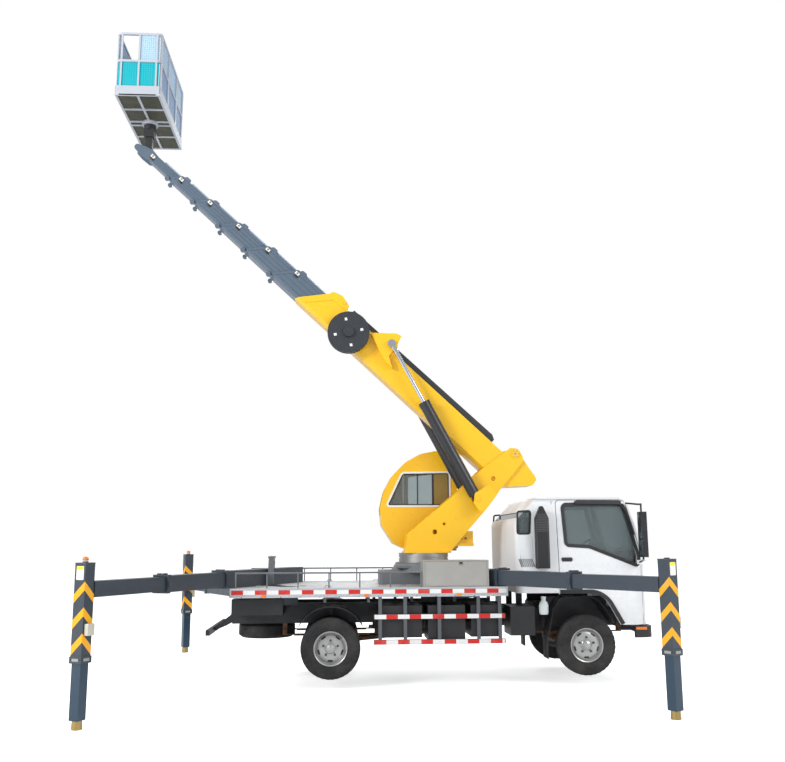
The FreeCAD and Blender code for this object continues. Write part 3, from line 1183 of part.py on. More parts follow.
def lift_rods():
    made = []
    for side in (-1, 1):
        eye_at = CYL_FOOT + V(0, side * CYL_Y, 0) + CYL_DIR * CYL_LEN
        eye = rod(eye_at + V(0, -25, 0), eye_at + V(0, 25, 0), 58)
        pin = rod(eye_at + V(0, -26, 0), eye_at + V(0, 32, 0), 36)
        if side < 0:
            pin = rod(eye_at + V(0, -32, 0), eye_at + V(0, 26, 0), 36)
        bar = rod(eye_at - CYL_DIR * 40, eye_at - CYL_DIR * ROD_LEN, ROD_R)
        piston = rod(eye_at - CYL_DIR * (ROD_LEN - PISTON), eye_at - CYL_DIR * ROD_LEN, BARREL_R - 12 - FIT)
        made.append(fuse([eye, pin, bar, piston]))
    return made


# ---------------------------------------------------------------- basket

TIP = boom_point(TIP_PIN[0], TIP_PIN[1])


def basket_mount():
    """Carried on the tip's pin, kept upright, with the turning post of the basket."""
    half6 = BOOM_HALF - BASE_WALL - SIDE_GAP - (SECTIONS - 1) * (SECTION_WALL + SIDE_GAP)
    w = half6 - 18 - CLEAR
    eye = rod(TIP + V(0, -w, 0), TIP + V(0, w, 0), 62)
    post = box(TIP.x - 50, TIP.x + 50, -50, 50, TIP.z + 30, BASKET_FLOOR - 150)
    arm = box(TIP.x - 75, TIP.x + 75, -75, 75, BASKET_FLOOR - 260, BASKET_FLOOR - 130)
    turner = rod(V(TIP.x, 0, BASKET_FLOOR - 131), V(TIP.x, 0, BASKET_FLOOR - 60 - FIT), 90)
    solid = fuse([eye, post, arm, turner])
    return solid.cut(rod(TIP + V(0, -w - 1, 0), TIP + V(0, w + 1, 0), 30 + RUN))


def basket():
    cx = TIP.x
    x0, x1 = cx - BASKET_X / 2, cx + BASKET_X / 2
    y0, y1 = -BASKET_Y / 2, BASKET_Y / 2
    z0, z1 = BASKET_FLOOR, BASKET_FLOOR + BASKET_H
    r = TUBE / 2
    parts = []
    floor = box(x0, x1, y0, y1, z0 - 8, z0 + 4)
    parts.append(floor)
    for x in (x0 + r, cx, x1 - r):
        parts.append(box(x - r, x + r, y0, y1, z0 - BASKET_FRAME, z0 - 7))
    for y in (y0 + r, y0 + 450, -60, 60, y1 - 450, y1 - r):
        parts.append(box(x0, x1, y - r, y + r, z0 - BASKET_FRAME, z0 - 7))
    parts.append(rod(V(cx, 0, z0 - 60), V(cx, 0, z0 - 7), 120))
    levels = [z0 + 510, z1 - r]
    for z in levels:
        ring = plan_prism([(x0, y0, 70), (x1, y0, 70), (x1, y1, 70), (x0, y1, 70)], z - r, z + r)
        ring = ring.cut(plan_prism([(x0 + TUBE, y0 + TUBE, 70 - TUBE), (x1 - TUBE, y0 + TUBE, 70 - TUBE),
                                    (x1 - TUBE, y1 - TUBE, 70 - TUBE), (x0 + TUBE, y1 - TUBE, 70 - TUBE)],
                                   z - r - 1, z + r + 1))
        parts.append(ring)
    posts = [(x, y) for x in (x0 + r, x1 - r) for y in (y0 + 70, -310, 310, y1 - 70)]
    posts += [(x, y) for y in (y0 + r, y1 - r) for x in (x0 + 70, cx, x1 - 70)]
    for x, y in posts:
        parts.append(box(x - r * 0.8, x + r * 0.8, y - r * 0.8, y + r * 0.8, z0, z1 - 2))
    kick = plan_prism([(x0, y0, 20), (x1, y0, 20), (x1, y1, 20), (x0, y1, 20)], z0, z0 + 120).cut(
        box(x0 + 4, x1 - 4, y0 + 4, y1 - 4, z0 - 1, z0 + 121))
    parts.append(kick)
    return fuse(parts)


# ---------------------------------------------------------------- build

def build():
    os.makedirs("parts", exist_ok=True)
    boxes = [beam_box(arm) for arm in ARMS]
    grown = []
    for arm in ARMS:
        frame, reach = arm_frame(arm)
        h = BEAM_BOX / 2.0 + 11.0
        swell = box(-arm[5] - 9, 160, -h, h, -BEAM_BOX / 2.0 - 0.5, BEAM_BOX / 2.0 + 10.0)
        swell.Placement = frame
        grown.append(swell)
    save("chassis_frame", chassis_frame())
    save("outrigger_boxes", boxes)
    save("deck", deck(grown[2:]))
    save("deck_rail", deck_rail())
    save("side_guards", side_guards(grown[2:]))
    save("pedestal_and_rest", pedestal_and_rest(grown[:2]))
    save("toolbox", toolbox())
    save("toolbox_door", toolbox_door())
    save("underdeck_boxes", underdeck_boxes(grown[2:]))
    save("fenders_and_underrun", fenders_and_underrun())
    save("spare_wheel", spare_wheel())
    save("engine_block", engine_block())
    save("running_gear", running_gear())
    shell, glass, doors, door_glass = cab_solids()
    save("cab_shell", shell)
    save("cab_glass", glass)
    save("cab_interior", cab_interior())
    save("cab_trim", cab_trim())
    for name, i in (("right", 0), ("left", 1)):
        save("door_" + name, doors[i])
        save("door_glass_" + name, door_glass[i])
    for name, side in (("right", -1), ("left", 1)):
        save("knuckle_" + name, knuckle(side))
        y = side * FRONT_TRACK
        save("tyre_front_" + name, tyre(FRONT_AXLE_X, y))
        save("rim_front_" + name, rim(FRONT_AXLE_X, y, side, 20, -95, 45))
        save("tyre_rear_" + name, [tyre(REAR_AXLE_X, side * REAR_OUTER), tyre(REAR_AXLE_X, side * REAR_INNER)])
        save("rim_rear_" + name, [rim(REAR_AXLE_X, side * REAR_OUTER, side, -56, -117, -20),
                                  rim(REAR_AXLE_X, side * REAR_INNER, -side, -56, -117, 0)])
    save("turntable_ring", turntable_ring())
    save("turntable_frame", turntable_frame())
    opc, opc_glass, opc_door = operator_cab_solids()
    save("operator_cab", opc)
    save("operator_glass", opc_glass)
    save("operator_door", opc_door)
    save("boom_base", fuse([boom_base(), base_pad()]))
    save("cable_carrier", cable_carrier())
    for i in range(1, SECTIONS + 1):
        save("boom_section_%d" % i, section(i))
    save("lift_barrels", lift_barrels())
    save("lift_rods", lift_rods())
    save("basket_mount", basket_mount())
    save("basket", basket())
    for arm in ARMS:
        save("stage_1_" + arm[0], stage_1(arm))
        save("stage_2_" + arm[0], stage_2(arm))
        save("jack_" + arm[0], jack(arm))


build()
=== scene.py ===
import math

import bmesh
import bpy
from mathutils import Matrix, Vector


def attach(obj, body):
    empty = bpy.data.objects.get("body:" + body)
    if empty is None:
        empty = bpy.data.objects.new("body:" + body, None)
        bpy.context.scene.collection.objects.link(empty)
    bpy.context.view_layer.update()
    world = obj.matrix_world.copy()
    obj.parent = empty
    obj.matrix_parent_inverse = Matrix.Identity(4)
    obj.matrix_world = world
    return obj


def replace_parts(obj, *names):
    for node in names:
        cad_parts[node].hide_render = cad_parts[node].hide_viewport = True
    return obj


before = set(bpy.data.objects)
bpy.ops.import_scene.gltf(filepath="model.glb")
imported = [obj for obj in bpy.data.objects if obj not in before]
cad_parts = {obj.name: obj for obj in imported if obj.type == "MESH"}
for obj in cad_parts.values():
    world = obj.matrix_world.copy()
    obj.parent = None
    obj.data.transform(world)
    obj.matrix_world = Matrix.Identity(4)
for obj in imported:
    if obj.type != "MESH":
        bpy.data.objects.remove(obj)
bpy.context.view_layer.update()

# -------- sizes, in metres

PIVOT = Vector((2.064, 0.0, 3.093))
BOOM_ANGLE = math.radians(43.0)
ALONG = Vector((-math.cos(BOOM_ANGLE), 0.0, math.sin(BOOM_ANGLE)))
SQUARE = Vector((math.sin(BOOM_ANGLE), 0.0, math.cos(BOOM_ANGLE)))
SECTIONS = 6
BASE_HEAD, HEAD_PITCH = 3.900, 0.534  # the boom base's head along the boom, and from head to head
HEAD_SLANT = 1 / math.tan(math.radians(50.0))

FRONT_AXLE_X, REAR_AXLE_X, AXLE_Z = 2.8, -0.56, 0.5075
TYRE_R, TYRE_W, TWIN_PITCH = 0.3875, 0.195, 0.236
WHEELS = [  # body, place, x, y, side its face points to
    ("front_wheel_right", "front_right", FRONT_AXLE_X, -0.860, -1),
    ("front_wheel_left", "front_left", FRONT_AXLE_X, 0.860, 1),
    ("rear_wheels_right", "rear_right", REAR_AXLE_X, -0.922, -1),
    ("rear_wheels_left", "rear_left", REAR_AXLE_X, 0.922, 1),
]
ARMS = [  # name, side, mouth x, leg x, beam centre z
    ("front_right", -1, 1.703, 3.1, 1.385),
    ("rear_right", -1, -2.0, -3.1, 1.385),
    ("front_left", 1, 1.703, 3.1, 1.155),
    ("rear_left", 1, -2.0, -3.1, 1.155),
]
MOUTH_Y, LEG_Y, LEG_HALF = 1.030, 3.225, 0.070
STAGE_1_HALF, MOUTH_HALF = 0.107, 0.120  # a beam's first stage at its collar, and the mouth it slides in
CHEVRON_TOPS, CHEVRON_DROP, CHEVRON_THICK = (1.470, 1.210, 0.950), 0.135, 0.088
LEG_TOP = 1.660
DECK_TOP, DECK_HALF = 1.275, 1.100
DECK_REAR, DECK_FRONT = -1.850, 1.745
EDGE_TAPE, UPPER_TAPE, LOWER_TAPE = (1.196, 1.250), (0.878, 0.932), (0.563, 0.617)  # low and high edges
GUARD_REAR, GUARD_FRONT = 0.005, 1.690
CAB_HALF, CAB_NOSE, NOSE_ROUND = 1.000, 3.680, 0.040
OPERATOR_SIDE = 0.425
TOOL_DOOR_Y = -1.0975

# -------- materials


class Shader:
    """A node material whose colour, roughness and bump come from procedural textures."""

    def __init__(self, name, colour, rough=0.5, metal=0.0):
        self.material = bpy.data.materials.new(name)
        self.material.use_nodes = True
        self.tree = self.material.node_tree
        self.shader = self.tree.nodes["Principled BSDF"]
        self.set("Base Color", (*colour, 1.0))
        self.set("Roughness", rough)
        self.set("Metallic", metal)
        self.coords = self.add("TexCoord").outputs["Object"]
        self.normal = None

    def add(self, kind, inputs=None, **values):
        node = self.tree.nodes.new("ShaderNode" + kind)
        for key, value in values.items():
            setattr(node, key, value)
        for key, value in (inputs or {}).items():
            node.inputs[key].default_value = value
        return node

    def set(self, socket, value):
        self.shader.inputs[socket].default_value = value

    def link(self, a, b):
        self.tree.links.new(a, b)

    def noise(self, scale, detail, stretch=(1, 1, 1)):
        place = self.add("Mapping", {"Scale": stretch})
        self.link(self.coords, place.inputs["Vector"])
        tex = self.add("TexNoise", {"Scale": scale, "Detail": detail, "Roughness": 0.55})
        self.link(place.outputs["Vector"], tex.inputs["Vector"])
        return tex.outputs["Fac"]

    def ramp(self, value, low, high, start=0.0, end=1.0):
        """Maps a value from low..high to start..end."""
        limits = {"From Min": low, "From Max": high, "To Min": start, "To Max": end}
        node = self.add("MapRange", limits, clamp=True)
        self.link(value, node.inputs["Value"])
        return node.outputs["Result"]

    def mix(self, amount, other):
        """Mixes another colour over the one so far, by a value from 0 to 1."""
        node = self.add("Mix", data_type="RGBA")
        old = self.shader.inputs["Base Color"]
        if old.is_linked:
            self.link(old.links[0].from_socket, node.inputs[6])
        else:
            node.inputs[6].default_value = old.default_value[:]
        node.inputs[7].default_value = (*other, 1.0)
        self.link(amount, node.inputs[0])
        self.link(node.outputs[2], old)
        return self

    def stain(self, scale, detail, low, high, most, other):
        """Mixes another colour over the one so far in patches."""
        return self.mix(self.ramp(self.noise(scale, detail), low, high, 0.0, most), other)

    def roughen(self, value, start, end):
        self.link(self.ramp(value, 0.3, 0.7, start, end), self.shader.inputs["Roughness"])
        return self

    def bump(self, height, strength, distance):
        node = self.add("Bump", {"Strength": strength, "Distance": distance})
        self.link(height, node.inputs["Height"])
        if self.normal is not None:
            self.link(self.normal, node.inputs["Normal"])
        self.normal = node.outputs["Normal"]
        self.link(self.normal, self.shader.inputs["Normal"])
        return self

    def upward(self):
        """1 where a face looks up, 0 where it looks sideways or down."""
        geometry = self.add("NewGeometry")
        split = self.add("SeparateXYZ")
        self.link(geometry.outputs["Normal"], split.inputs["Vector"])
        return self.ramp(split.outputs["Z"], 0.3, 1.0)

    def pair(self, operation, a, b):
        node = self.add("Math", operation=operation)
        self.link(a, node.inputs[0])
        self.link(b, node.inputs[1])
        return node.outputs["Value"]

    def split(self):
        """The object coordinates one by one."""
        node = self.add("SeparateXYZ")
        self.link(self.coords, node.inputs["Vector"])
        return node.outputs


def times(colour, factor, more=0.0, most=math.inf):
    return tuple(min(most, c * factor + more) for c in colour)


def paint(name, colour, rough, coat, dirt=0.25):
    """Sprayed paint: slight orange peel, uneven gloss and dust that settles on top."""
    s = Shader(name, colour, rough)
    s.set("Coat Weight", coat)
    s.set("Coat Roughness", 0.12)
    s.stain(1.3, 5.0, 0.35, 0.75, 0.5, times(colour, 0.82))
    s.mix(s.pair("MULTIPLY", s.upward(), s.ramp(s.noise(3.5, 6.0), 0.4, 0.7, 0.0, dirt)), (0.45, 0.42, 0.38))
    s.roughen(s.noise(9.0, 5.0), rough * 0.85, rough * 1.25)
    s.bump(s.noise(260.0, 2.0), 0.05, 0.0006)
    return s.material


def metal(name, colour, rough, scale, grain, metallic=1.0, stretch=(1, 1, 1)):
    """Bare metal with a grain along one direction."""
    s = Shader(name, colour, rough, metallic)
    grainy = s.noise(scale, 3.0, stretch)
    s.stain(4.0, 5.0, 0.35, 0.7, 0.35, times(colour, 0.72))
    s.roughen(grainy, rough * 0.75, rough * 1.35)
    s.bump(grainy, grain, 0.0005)
    return s.material


def checker_plate(name, colour):
    """Tread plate: small raised lozenges in a crossed pattern, with scuffs and dust."""
    s = Shader(name, colour, 0.45, 0.35)
    heights = []
    for turn in (math.radians(45), math.radians(-45)):
        place = s.add("Mapping", {"Rotation": (0, 0, turn), "Scale": (1.0, 3.2, 1.0)})
        s.link(s.coords, place.inputs["Vector"])
        cells = s.add("TexVoronoi", {"Scale": 17.0, "Randomness": 0.0}, feature="F1", distance="EUCLIDEAN")
        s.link(place.outputs["Vector"], cells.inputs["Vector"])
        heights.append(s.ramp(cells.outputs["Distance"], 0.18, 0.38, 1.0, 0.0))
    both = s.pair("MAXIMUM", *heights)
    s.stain(2.0, 6.0, 0.4, 0.7, 0.5, (0.36, 0.35, 0.33))
    s.mix(s.ramp(both, 0.2, 0.9, 0.0, 0.55), (0.86, 0.87, 0.88))
    s.roughen(s.noise(12.0, 5.0), 0.42, 0.6)
    s.bump(both, 0.9, 0.003)
    return s.material


def rubber(name):
    s = Shader(name, (0.018, 0.018, 0.019), 0.72)
    s.set("Specular IOR Level", 0.35)
    s.stain(5.0, 8.0, 0.42, 0.75, 0.35, (0.10, 0.09, 0.075))
    s.roughen(s.noise(30.0, 4.0), 0.62, 0.86)
    s.bump(s.noise(420.0, 3.0), 0.18, 0.0008)
    return s.material


def plastic(name, colour, rough=0.5):
    s = Shader(name, colour, rough)
    s.stain(2.5, 5.0, 0.4, 0.75, 0.3, times(colour, 1.6, 0.02, 1.0))
    s.roughen(s.noise(14.0, 4.0), rough * 0.85, rough * 1.2)
    s.bump(s.noise(320.0, 3.0), 0.14, 0.0006)
    return s.material


def glass(name, tint, clear=0.55):
    s = Shader(name, tint, 0.04)
    s.set("Transmission Weight", clear)
    s.set("IOR", 1.45)
    s.set("Coat Weight", 0.4)
    s.stain(1.2, 4.0, 0.4, 0.7, 0.4, times(tint, 1.5, 0.01))
    return s.material


def reflective(name, colour):
    """Reflective tape with a fine cell pattern."""
    s = Shader(name, colour, 0.35)
    cells = s.add("TexVoronoi", feature="DISTANCE_TO_EDGE")
    cells.inputs["Scale"].default_value = 260.0
    s.link(s.coords, cells.inputs["Vector"])
    s.mix(s.ramp(cells.outputs["Distance"], 0.0, 0.08, 0.35, 0.0), times(colour, 0.6))
    s.stain(6.0, 5.0, 0.5, 0.8, 0.25, (0.4, 0.36, 0.33))
    s.bump(cells.outputs["Distance"], 0.12, 0.0005)
    return s.material


def perforated(name, colour, hole, across, cells, solid):
    """A sheet with rows of round holes over height and one level direction, the holes painted dark as the
    shade seen through them; a hole hides as much as solid.
    """
    s = Shader(name, colour, 0.5)
    place = s.split()
    flat = s.add("CombineXYZ")
    s.link(place[across], flat.inputs["X"])
    s.link(place["Z"], flat.inputs["Y"])
    spots = s.add("TexVoronoi", {"Scale": cells, "Randomness": 0.0}, voronoi_dimensions="2D", feature="F1")
    s.link(flat.outputs["Vector"], spots.inputs["Vector"])
    away = spots.outputs["Distance"]
    # holes take the dark hole colour: painted shade of what lies behind them; where solid is below 1 they are
    # also partly see-through
    s.mix(s.ramp(away, 0.20, 0.28, 1.0, 0.0), hole)
    s.stain(2.5, 4.0, 0.4, 0.7, 0.35, times(colour, 0.75))
    s.roughen(s.noise(12.0, 4.0), 0.4, 0.6)
    s.bump(s.ramp(away, 0.20, 0.28), 0.3, 0.001)
    if solid < 1.0:
        s.link(s.ramp(away, 0.22, 0.30, solid, 1.0), s.shader.inputs["Alpha"])
    return s.material


def rusty(name, colour):
    s = Shader(name, colour, 0.7, 0.25)
    spots = s.noise(18.0, 8.0)
    s.mix(s.ramp(spots, 0.42, 0.62), (0.24, 0.10, 0.035))
    s.roughen(spots, 0.55, 0.9)
    s.bump(spots, 0.4, 0.0015)
    return s.material


def two_tone(name, colour, outer, reach):
    """Paint on the door, and dark plastic beyond a distance from the truck's middle plane, on its mirror."""
    s = Shader(name, colour, 0.25)
    s.set("Coat Weight", 0.4)
    s.set("Coat Roughness", 0.12)
    s.stain(1.3, 5.0, 0.35, 0.75, 0.4, times(colour, 0.9))
    away = s.add("Math", operation="ABSOLUTE")
    s.link(s.split()["Y"], away.inputs[0])
    s.mix(s.ramp(away.outputs["Value"], reach, reach + 0.003), outer)
    s.roughen(s.noise(9.0, 5.0), 0.2, 0.34)
    s.bump(s.noise(260.0, 2.0), 0.05, 0.0006)
    return s.material


YELLOW = paint("yellow_paint", (0.98, 0.56, 0.008), 0.3, 0.5, 0.08)
WHITE = paint("white_paint", (0.80, 0.81, 0.82), 0.4, 0.15, 0.0)
SLATE = paint("slate_paint", (0.040, 0.054, 0.072), 0.38, 0.3)
BOOM_SLATE = paint("boom_slate", (0.100, 0.140, 0.190), 0.34, 0.4, 0.0)
DEEP_BLUE = paint("leg_blue", (0.010, 0.040, 0.075), 0.34, 0.4, 0.1)
CHASSIS_BLACK = paint("chassis_black", (0.020, 0.021, 0.023), 0.5, 0.1, 0.5)
GREY = paint("grey_paint", (0.14, 0.15, 0.16), 0.45, 0.15, 0.5)
GUARD_GREY = paint("guard_grey", (0.09, 0.10, 0.11), 0.45, 0.15)
SILVER = metal("wheel_silver", (0.50, 0.50, 0.49), 0.34, 70.0, 0.04, 0.75)
AMBER_PAINT = reflective("amber_tape", (1.0, 0.46, 0.008))
RED_TAPE = reflective("red_tape", (0.62, 0.018, 0.012))
WHITE_TAPE = reflective("white_tape", (0.82, 0.82, 0.80))
CHECKER = checker_plate("checker_plate", (0.50, 0.51, 0.52))
STAINLESS = metal("stainless", (0.44, 0.43, 0.40), 0.48, 30.0, 0.03, 0.6, stretch=(1, 40, 60))
RING_STEEL = metal("ring_steel", (0.46, 0.45, 0.43), 0.35, 20.0, 0.1, stretch=(1, 1, 30))
CHROME = metal("rod_chrome", (0.62, 0.66, 0.71), 0.12, 60.0, 0.02)
ALUMINIUM = metal("basket_aluminium", (0.66, 0.69, 0.73), 0.34, 90.0, 0.05)
BASKET_WHITE = paint("basket_white", (0.50, 0.53, 0.58), 0.4, 0.15, 0.05)
BRASS = metal("foot_metal", (0.50, 0.36, 0.14), 0.42, 60.0, 0.2)
RUBBER = rubber("tyre_rubber")
BLACK = plastic("black_plastic", (0.016, 0.016, 0.018), 0.42)
TRIM = plastic("dark_trim", (0.07, 0.07, 0.075), 0.6)
MILKY = plastic("bottle_plastic", (0.62, 0.66, 0.66), 0.45)
REEL = paint("reel_grey", (0.030, 0.034, 0.040), 0.42, 0.2)
GLASS = glass("cab_glass", (0.30, 0.36, 0.37), 0.8)
# the third colour of each perforated sheet is the painted shade in its holes
BLUE_SHEET = perforated("blue_sheet", (0.17, 0.30, 0.50), (0.03, 0.06, 0.12), "Y", 42.0, 1.0)
BLUE_MESH = perforated("blue_mesh", (0.42, 0.60, 0.78), (0.20, 0.34, 0.50), "Y", 34.0, 0.35)
END_MESH = perforated("end_mesh", (0.42, 0.62, 0.80), (0.20, 0.34, 0.50), "X", 34.0, 0.35)
CYAN = perforated("cyan_panel", (0.0, 0.48, 0.56), (0.0, 0.10, 0.13), "X", 30.0, 1.0)
# dark olive that stands for the painted shade under the basket's floor
UNDERSIDE_SHADE = paint("underside_shade", (0.055, 0.058, 0.035), 0.6, 0.1, 0.2)
BROWN = plastic("cab_lining", (0.24, 0.17, 0.04), 0.7)
AMBER = plastic("amber_lens", (0.85, 0.20, 0.01), 0.25)
DOOR_PAINT = two_tone("door_paint", (0.80, 0.81, 0.82), (0.016, 0.016, 0.018), 1.004)
BARREL_BLACK = paint("barrel_black", (0.018, 0.020, 0.024), 0.4, 0.25, 0.1)
LIGHT_BLUE = paint("rod_blue", (0.32, 0.42, 0.52), 0.25, 0.5, 0.1)
CLEAR = glass("clear_lens", (0.75, 0.78, 0.80), 0.85)
CREAM = paint("cream_paint", (0.62, 0.60, 0.50), 0.4, 0.2)
PLATE_WHITE = plastic("blank_plate", (0.82, 0.82, 0.80), 0.4)
PLATE_YELLOW = plastic("yellow_plate", (0.90, 0.80, 0.02), 0.4)
RUST = rusty("rusty_steel", (0.05, 0.045, 0.04))
IRON = metal("cast_iron", (0.10, 0.10, 0.10), 0.6, 40.0, 0.4, 0.6)

DRESS = {  # node name or its start: material
    "chassis_frame": CHASSIS_BLACK, "outrigger_boxes": SLATE, "deck_rail": GREY, "deck": CHECKER,
    "side_guards": GUARD_GREY, "pedestal_and_rest": GREY, "toolbox": STAINLESS,
    "underdeck_boxes": BLACK, "fenders_and_underrun": BLACK, "spare_wheel": RUBBER, "engine_block": IRON,
    "running_gear": RUST, "cab_shell": WHITE, "cab_glass": GLASS, "cab_interior": TRIM, "cab_trim": BLACK,
    "door_glass": GLASS, "door_": DOOR_PAINT, "knuckle": RUST, "tyre": RUBBER, "rim": SILVER,
    "turntable_ring": RING_STEEL, "turntable_frame": YELLOW, "operator": YELLOW, "operator_glass": GLASS,
    "boom_base": YELLOW, "cable_carrier": REEL, "boom_section": BOOM_SLATE,
    "lift_barrels": BARREL_BLACK, "lift_rods": CHROME, "basket_mount": CHASSIS_BLACK, "basket": BASKET_WHITE,
    "stage": SLATE, "jack": DEEP_BLUE,
}


def dress_nodes():
    for name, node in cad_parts.items():
        fits = [key for key in DRESS if name.startswith(key)]
        node.data.materials.clear()
        node.data.materials.append(DRESS[max(fits, key=len)])


dress_nodes()

# -------- mesh pieces


def put(name, data):
    obj = bpy.data.objects.new(name, data)
    bpy.context.scene.collection.objects.link(obj)
    return obj


def facing(origin, x_dir, y_dir, z_dir):
    """A matrix that puts local axes along three directions at a point."""
    return Matrix([(*v, 0) for v in (x_dir, y_dir, z_dir)] + [(*origin, 1)]).transposed()


def strips(pairs, around):
    """Quads between pairs of rings, each of as many points as around."""
    return [(a * around + k, a * around + (k + 1) % around, b * around + (k + 1) % around, b * around + k)
            for a, b in pairs for k in range(around)]


class Piece:
    """One mesh object built from many shapes; each shape names its material."""

    def __init__(self, name, body, slot):
        self.name, self.body, self.slot = name, body, slot
        self.bm = bmesh.new()
        self.materials = []

    def index(self, material):
        if material not in self.materials:
            self.materials.append(material)
        return self.materials.index(material)

    def faces(self, verts, faces, material, matrix=None, smooth=False):
        made = [self.bm.verts.new(matrix @ Vector(v) if matrix else v) for v in verts]
        number = self.index(material)
        for f in faces:
            face = self.bm.faces.new([made[i] for i in f])
            face.material_index = number
            face.smooth = smooth

    def box(self, one, other, material, matrix=None, chamfer=0.0):
        """A box between two opposite corners, with its edges cut off by chamfer."""
        lo, hi = [min(pair) for pair in zip(one, other)], [max(pair) for pair in zip(one, other)]
        c = min(chamfer, *((hi[k] - lo[k]) * 0.45 for k in range(3)))
        if c <= 0:
            v = [(x, y, z) for x in (lo[0], hi[0]) for y in (lo[1], hi[1]) for z in (lo[2], hi[2])]
            f = [(0, 1, 3, 2), (4, 6, 7, 5), (0, 4, 5, 1), (2, 3, 7, 6), (0, 2, 6, 4), (1, 5, 7, 3)]
            self.faces(v, f, material, matrix)
            return
        part = bmesh.new()
        bmesh.ops.create_cube(part, size=1.0)
        for v in part.verts:
            v.co = Vector([lo[k] + (v.co[k] + 0.5) * (hi[k] - lo[k]) for k in range(3)])
        bmesh.ops.bevel(part, geom=part.edges[:], offset=c, segments=2, affect="EDGES", profile=0.5)
        part.verts.index_update()
        faces = [[v.index for v in f.verts] for f in part.faces]
        self.faces([v.co for v in part.verts], faces, material, matrix)
        part.free()

    def lathe(self, profile, matrix, material, around=32, ring=False):
        """A profile of (radius, height) turned about local Z; a ring's profile closes on itself."""
        verts = []
        for r, z in profile:
            for k in range(around):
                turn = 2 * math.pi * k / around
                verts.append((r * math.cos(turn), r * math.sin(turn), z))
        count = len(profile)
        faces = strips([(i, (i + 1) % count) for i in range(count if ring else count - 1)], around)
        if not ring and profile[0][0] > 1e-6:
            faces.append(tuple(reversed(range(around))))
        if not ring and profile[-1][0] > 1e-6:
            faces.append(tuple(range((count - 1) * around, count * around)))
        self.faces(verts, faces, material, matrix, True)

    def slab(self, points, place, lo, hi, material):
        """An outline on a surface, from lo to hi out from it."""
        n = len(points)
        verts = [place(p[0], p[1], lo) for p in points] + [place(p[0], p[1], hi) for p in points]
        self.faces(verts, [tuple(reversed(range(n))), tuple(range(n, 2 * n))] + strips([(0, 1)], n), material)

    def band(self, outer, inner, place, lo, hi, material):
        """The ring between two outlines on a surface."""
        verts = [place(p[0], p[1], w) for ring, w in ((outer, lo), (outer, hi), (inner, hi), (inner, lo))
                 for p in ring]
        self.faces(verts, strips([(0, 1), (1, 2), (2, 3), (3, 0)], len(outer)), material)

    def bolts(self, places, towards, r, height, material):
        """Hexagon heads at places, standing out along a direction."""
        for place in places:
            start = Vector(place)
            self.rod(start, start + Vector(towards) * height, r, material, 6, height * 0.2)

    def rod(self, start, end, r, material, around=20, chamfer=0.0):
        start, end = Vector(start), Vector(end)
        line = end - start
        turn = line.to_track_quat("Z", "Y").to_matrix().to_4x4()
        matrix = Matrix.Translation(start) @ turn
        c, far = chamfer, line.length
        profile = [(r - c, 0), (r, c), (r, far - c), (r - c, far)] if c else [(r, 0), (r, far)]
        self.lathe(profile, matrix, material, around)

    def tube(self, points, r, material, around=10, steps=8):
        """A round tube through given points, along a smooth curve."""
        path = smooth_path(points, steps)
        verts, across = [], None
        for i, p in enumerate(path):
            ahead = (path[min(i + 1, len(path) - 1)] - path[max(i - 1, 0)]).normalized()
            side = ahead.cross(Vector((0, 0, 1)) if across is None else across)
            if side.length < 1e-4:
                side = ahead.cross(Vector((1, 0, 0)))
            side.normalize()
            up = side.cross(ahead).normalized()
            across = up
            for k in range(around):
                turn = 2 * math.pi * k / around
                verts.append(p + side * r * math.cos(turn) + up * r * math.sin(turn))
        last = len(path) - 1
        faces = strips([(i, i + 1) for i in range(last)], around)
        faces += [tuple(reversed(range(around))), tuple(range(last * around, (last + 1) * around))]
        self.faces(verts, faces, material, None, True)

    def done(self, sharp=35.0):
        bmesh.ops.recalc_face_normals(self.bm, faces=self.bm.faces[:])
        mesh = bpy.data.meshes.new(self.name)
        self.bm.to_mesh(mesh)
        self.bm.free()
        for m in self.materials:
            mesh.materials.append(m)
        obj = put(self.name, mesh)
        mesh.set_sharp_from_angle(angle=math.radians(sharp))
        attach(obj, self.body)
        return obj


def smooth_path(points, steps):
    """Points on a Catmull-Rom curve through the given ones."""
    p = [Vector(q) for q in points]
    p = [p[0] * 2 - p[1]] + p + [p[-1] * 2 - p[-2]]
    path = []
    for i in range(1, len(p) - 2):
        for k in range(steps):
            t = k / steps
            path.append(0.5 * (2 * p[i] + (p[i + 1] - p[i - 1]) * t
                               + (2 * p[i - 1] - 5 * p[i] + 4 * p[i + 1] - p[i + 2]) * t * t
                               + (3 * p[i] - p[i - 1] - 3 * p[i + 1] + p[i + 2]) * t ** 3))
    path.append(p[-2])
    return path


def rounded(points, steps=5):
    """An outline whose corners that carry a radius become arcs."""
    made = []
    for i, p in enumerate(points):
        here = Vector(p[:2])
        if len(p) < 3:
            made.append(here)
            continue
        to_before = (Vector(points[i - 1][:2]) - here).normalized()
        to_after = (Vector(points[(i + 1) % len(points)][:2]) - here).normalized()
        half = to_before.angle(to_after) / 2
        middle = here + (to_before + to_after).normalized() * (p[2] / math.sin(half))
        first = here + to_before * (p[2] / math.tan(half)) - middle
        last = here + to_after * (p[2] / math.tan(half)) - middle
        for k in range(steps + 1):
            made.append(middle + first.lerp(last, k / steps).normalized() * p[2])
    return made


def rect(x0, y0, x1, y1, radius=None, steps=5):
    """A rectangle's outline, with arcs at its corners when a radius is given."""
    corners = [(x0, y0), (x1, y0), (x1, y1), (x0, y1)]
    return rounded([(*p, radius) for p in corners], steps) if radius else corners


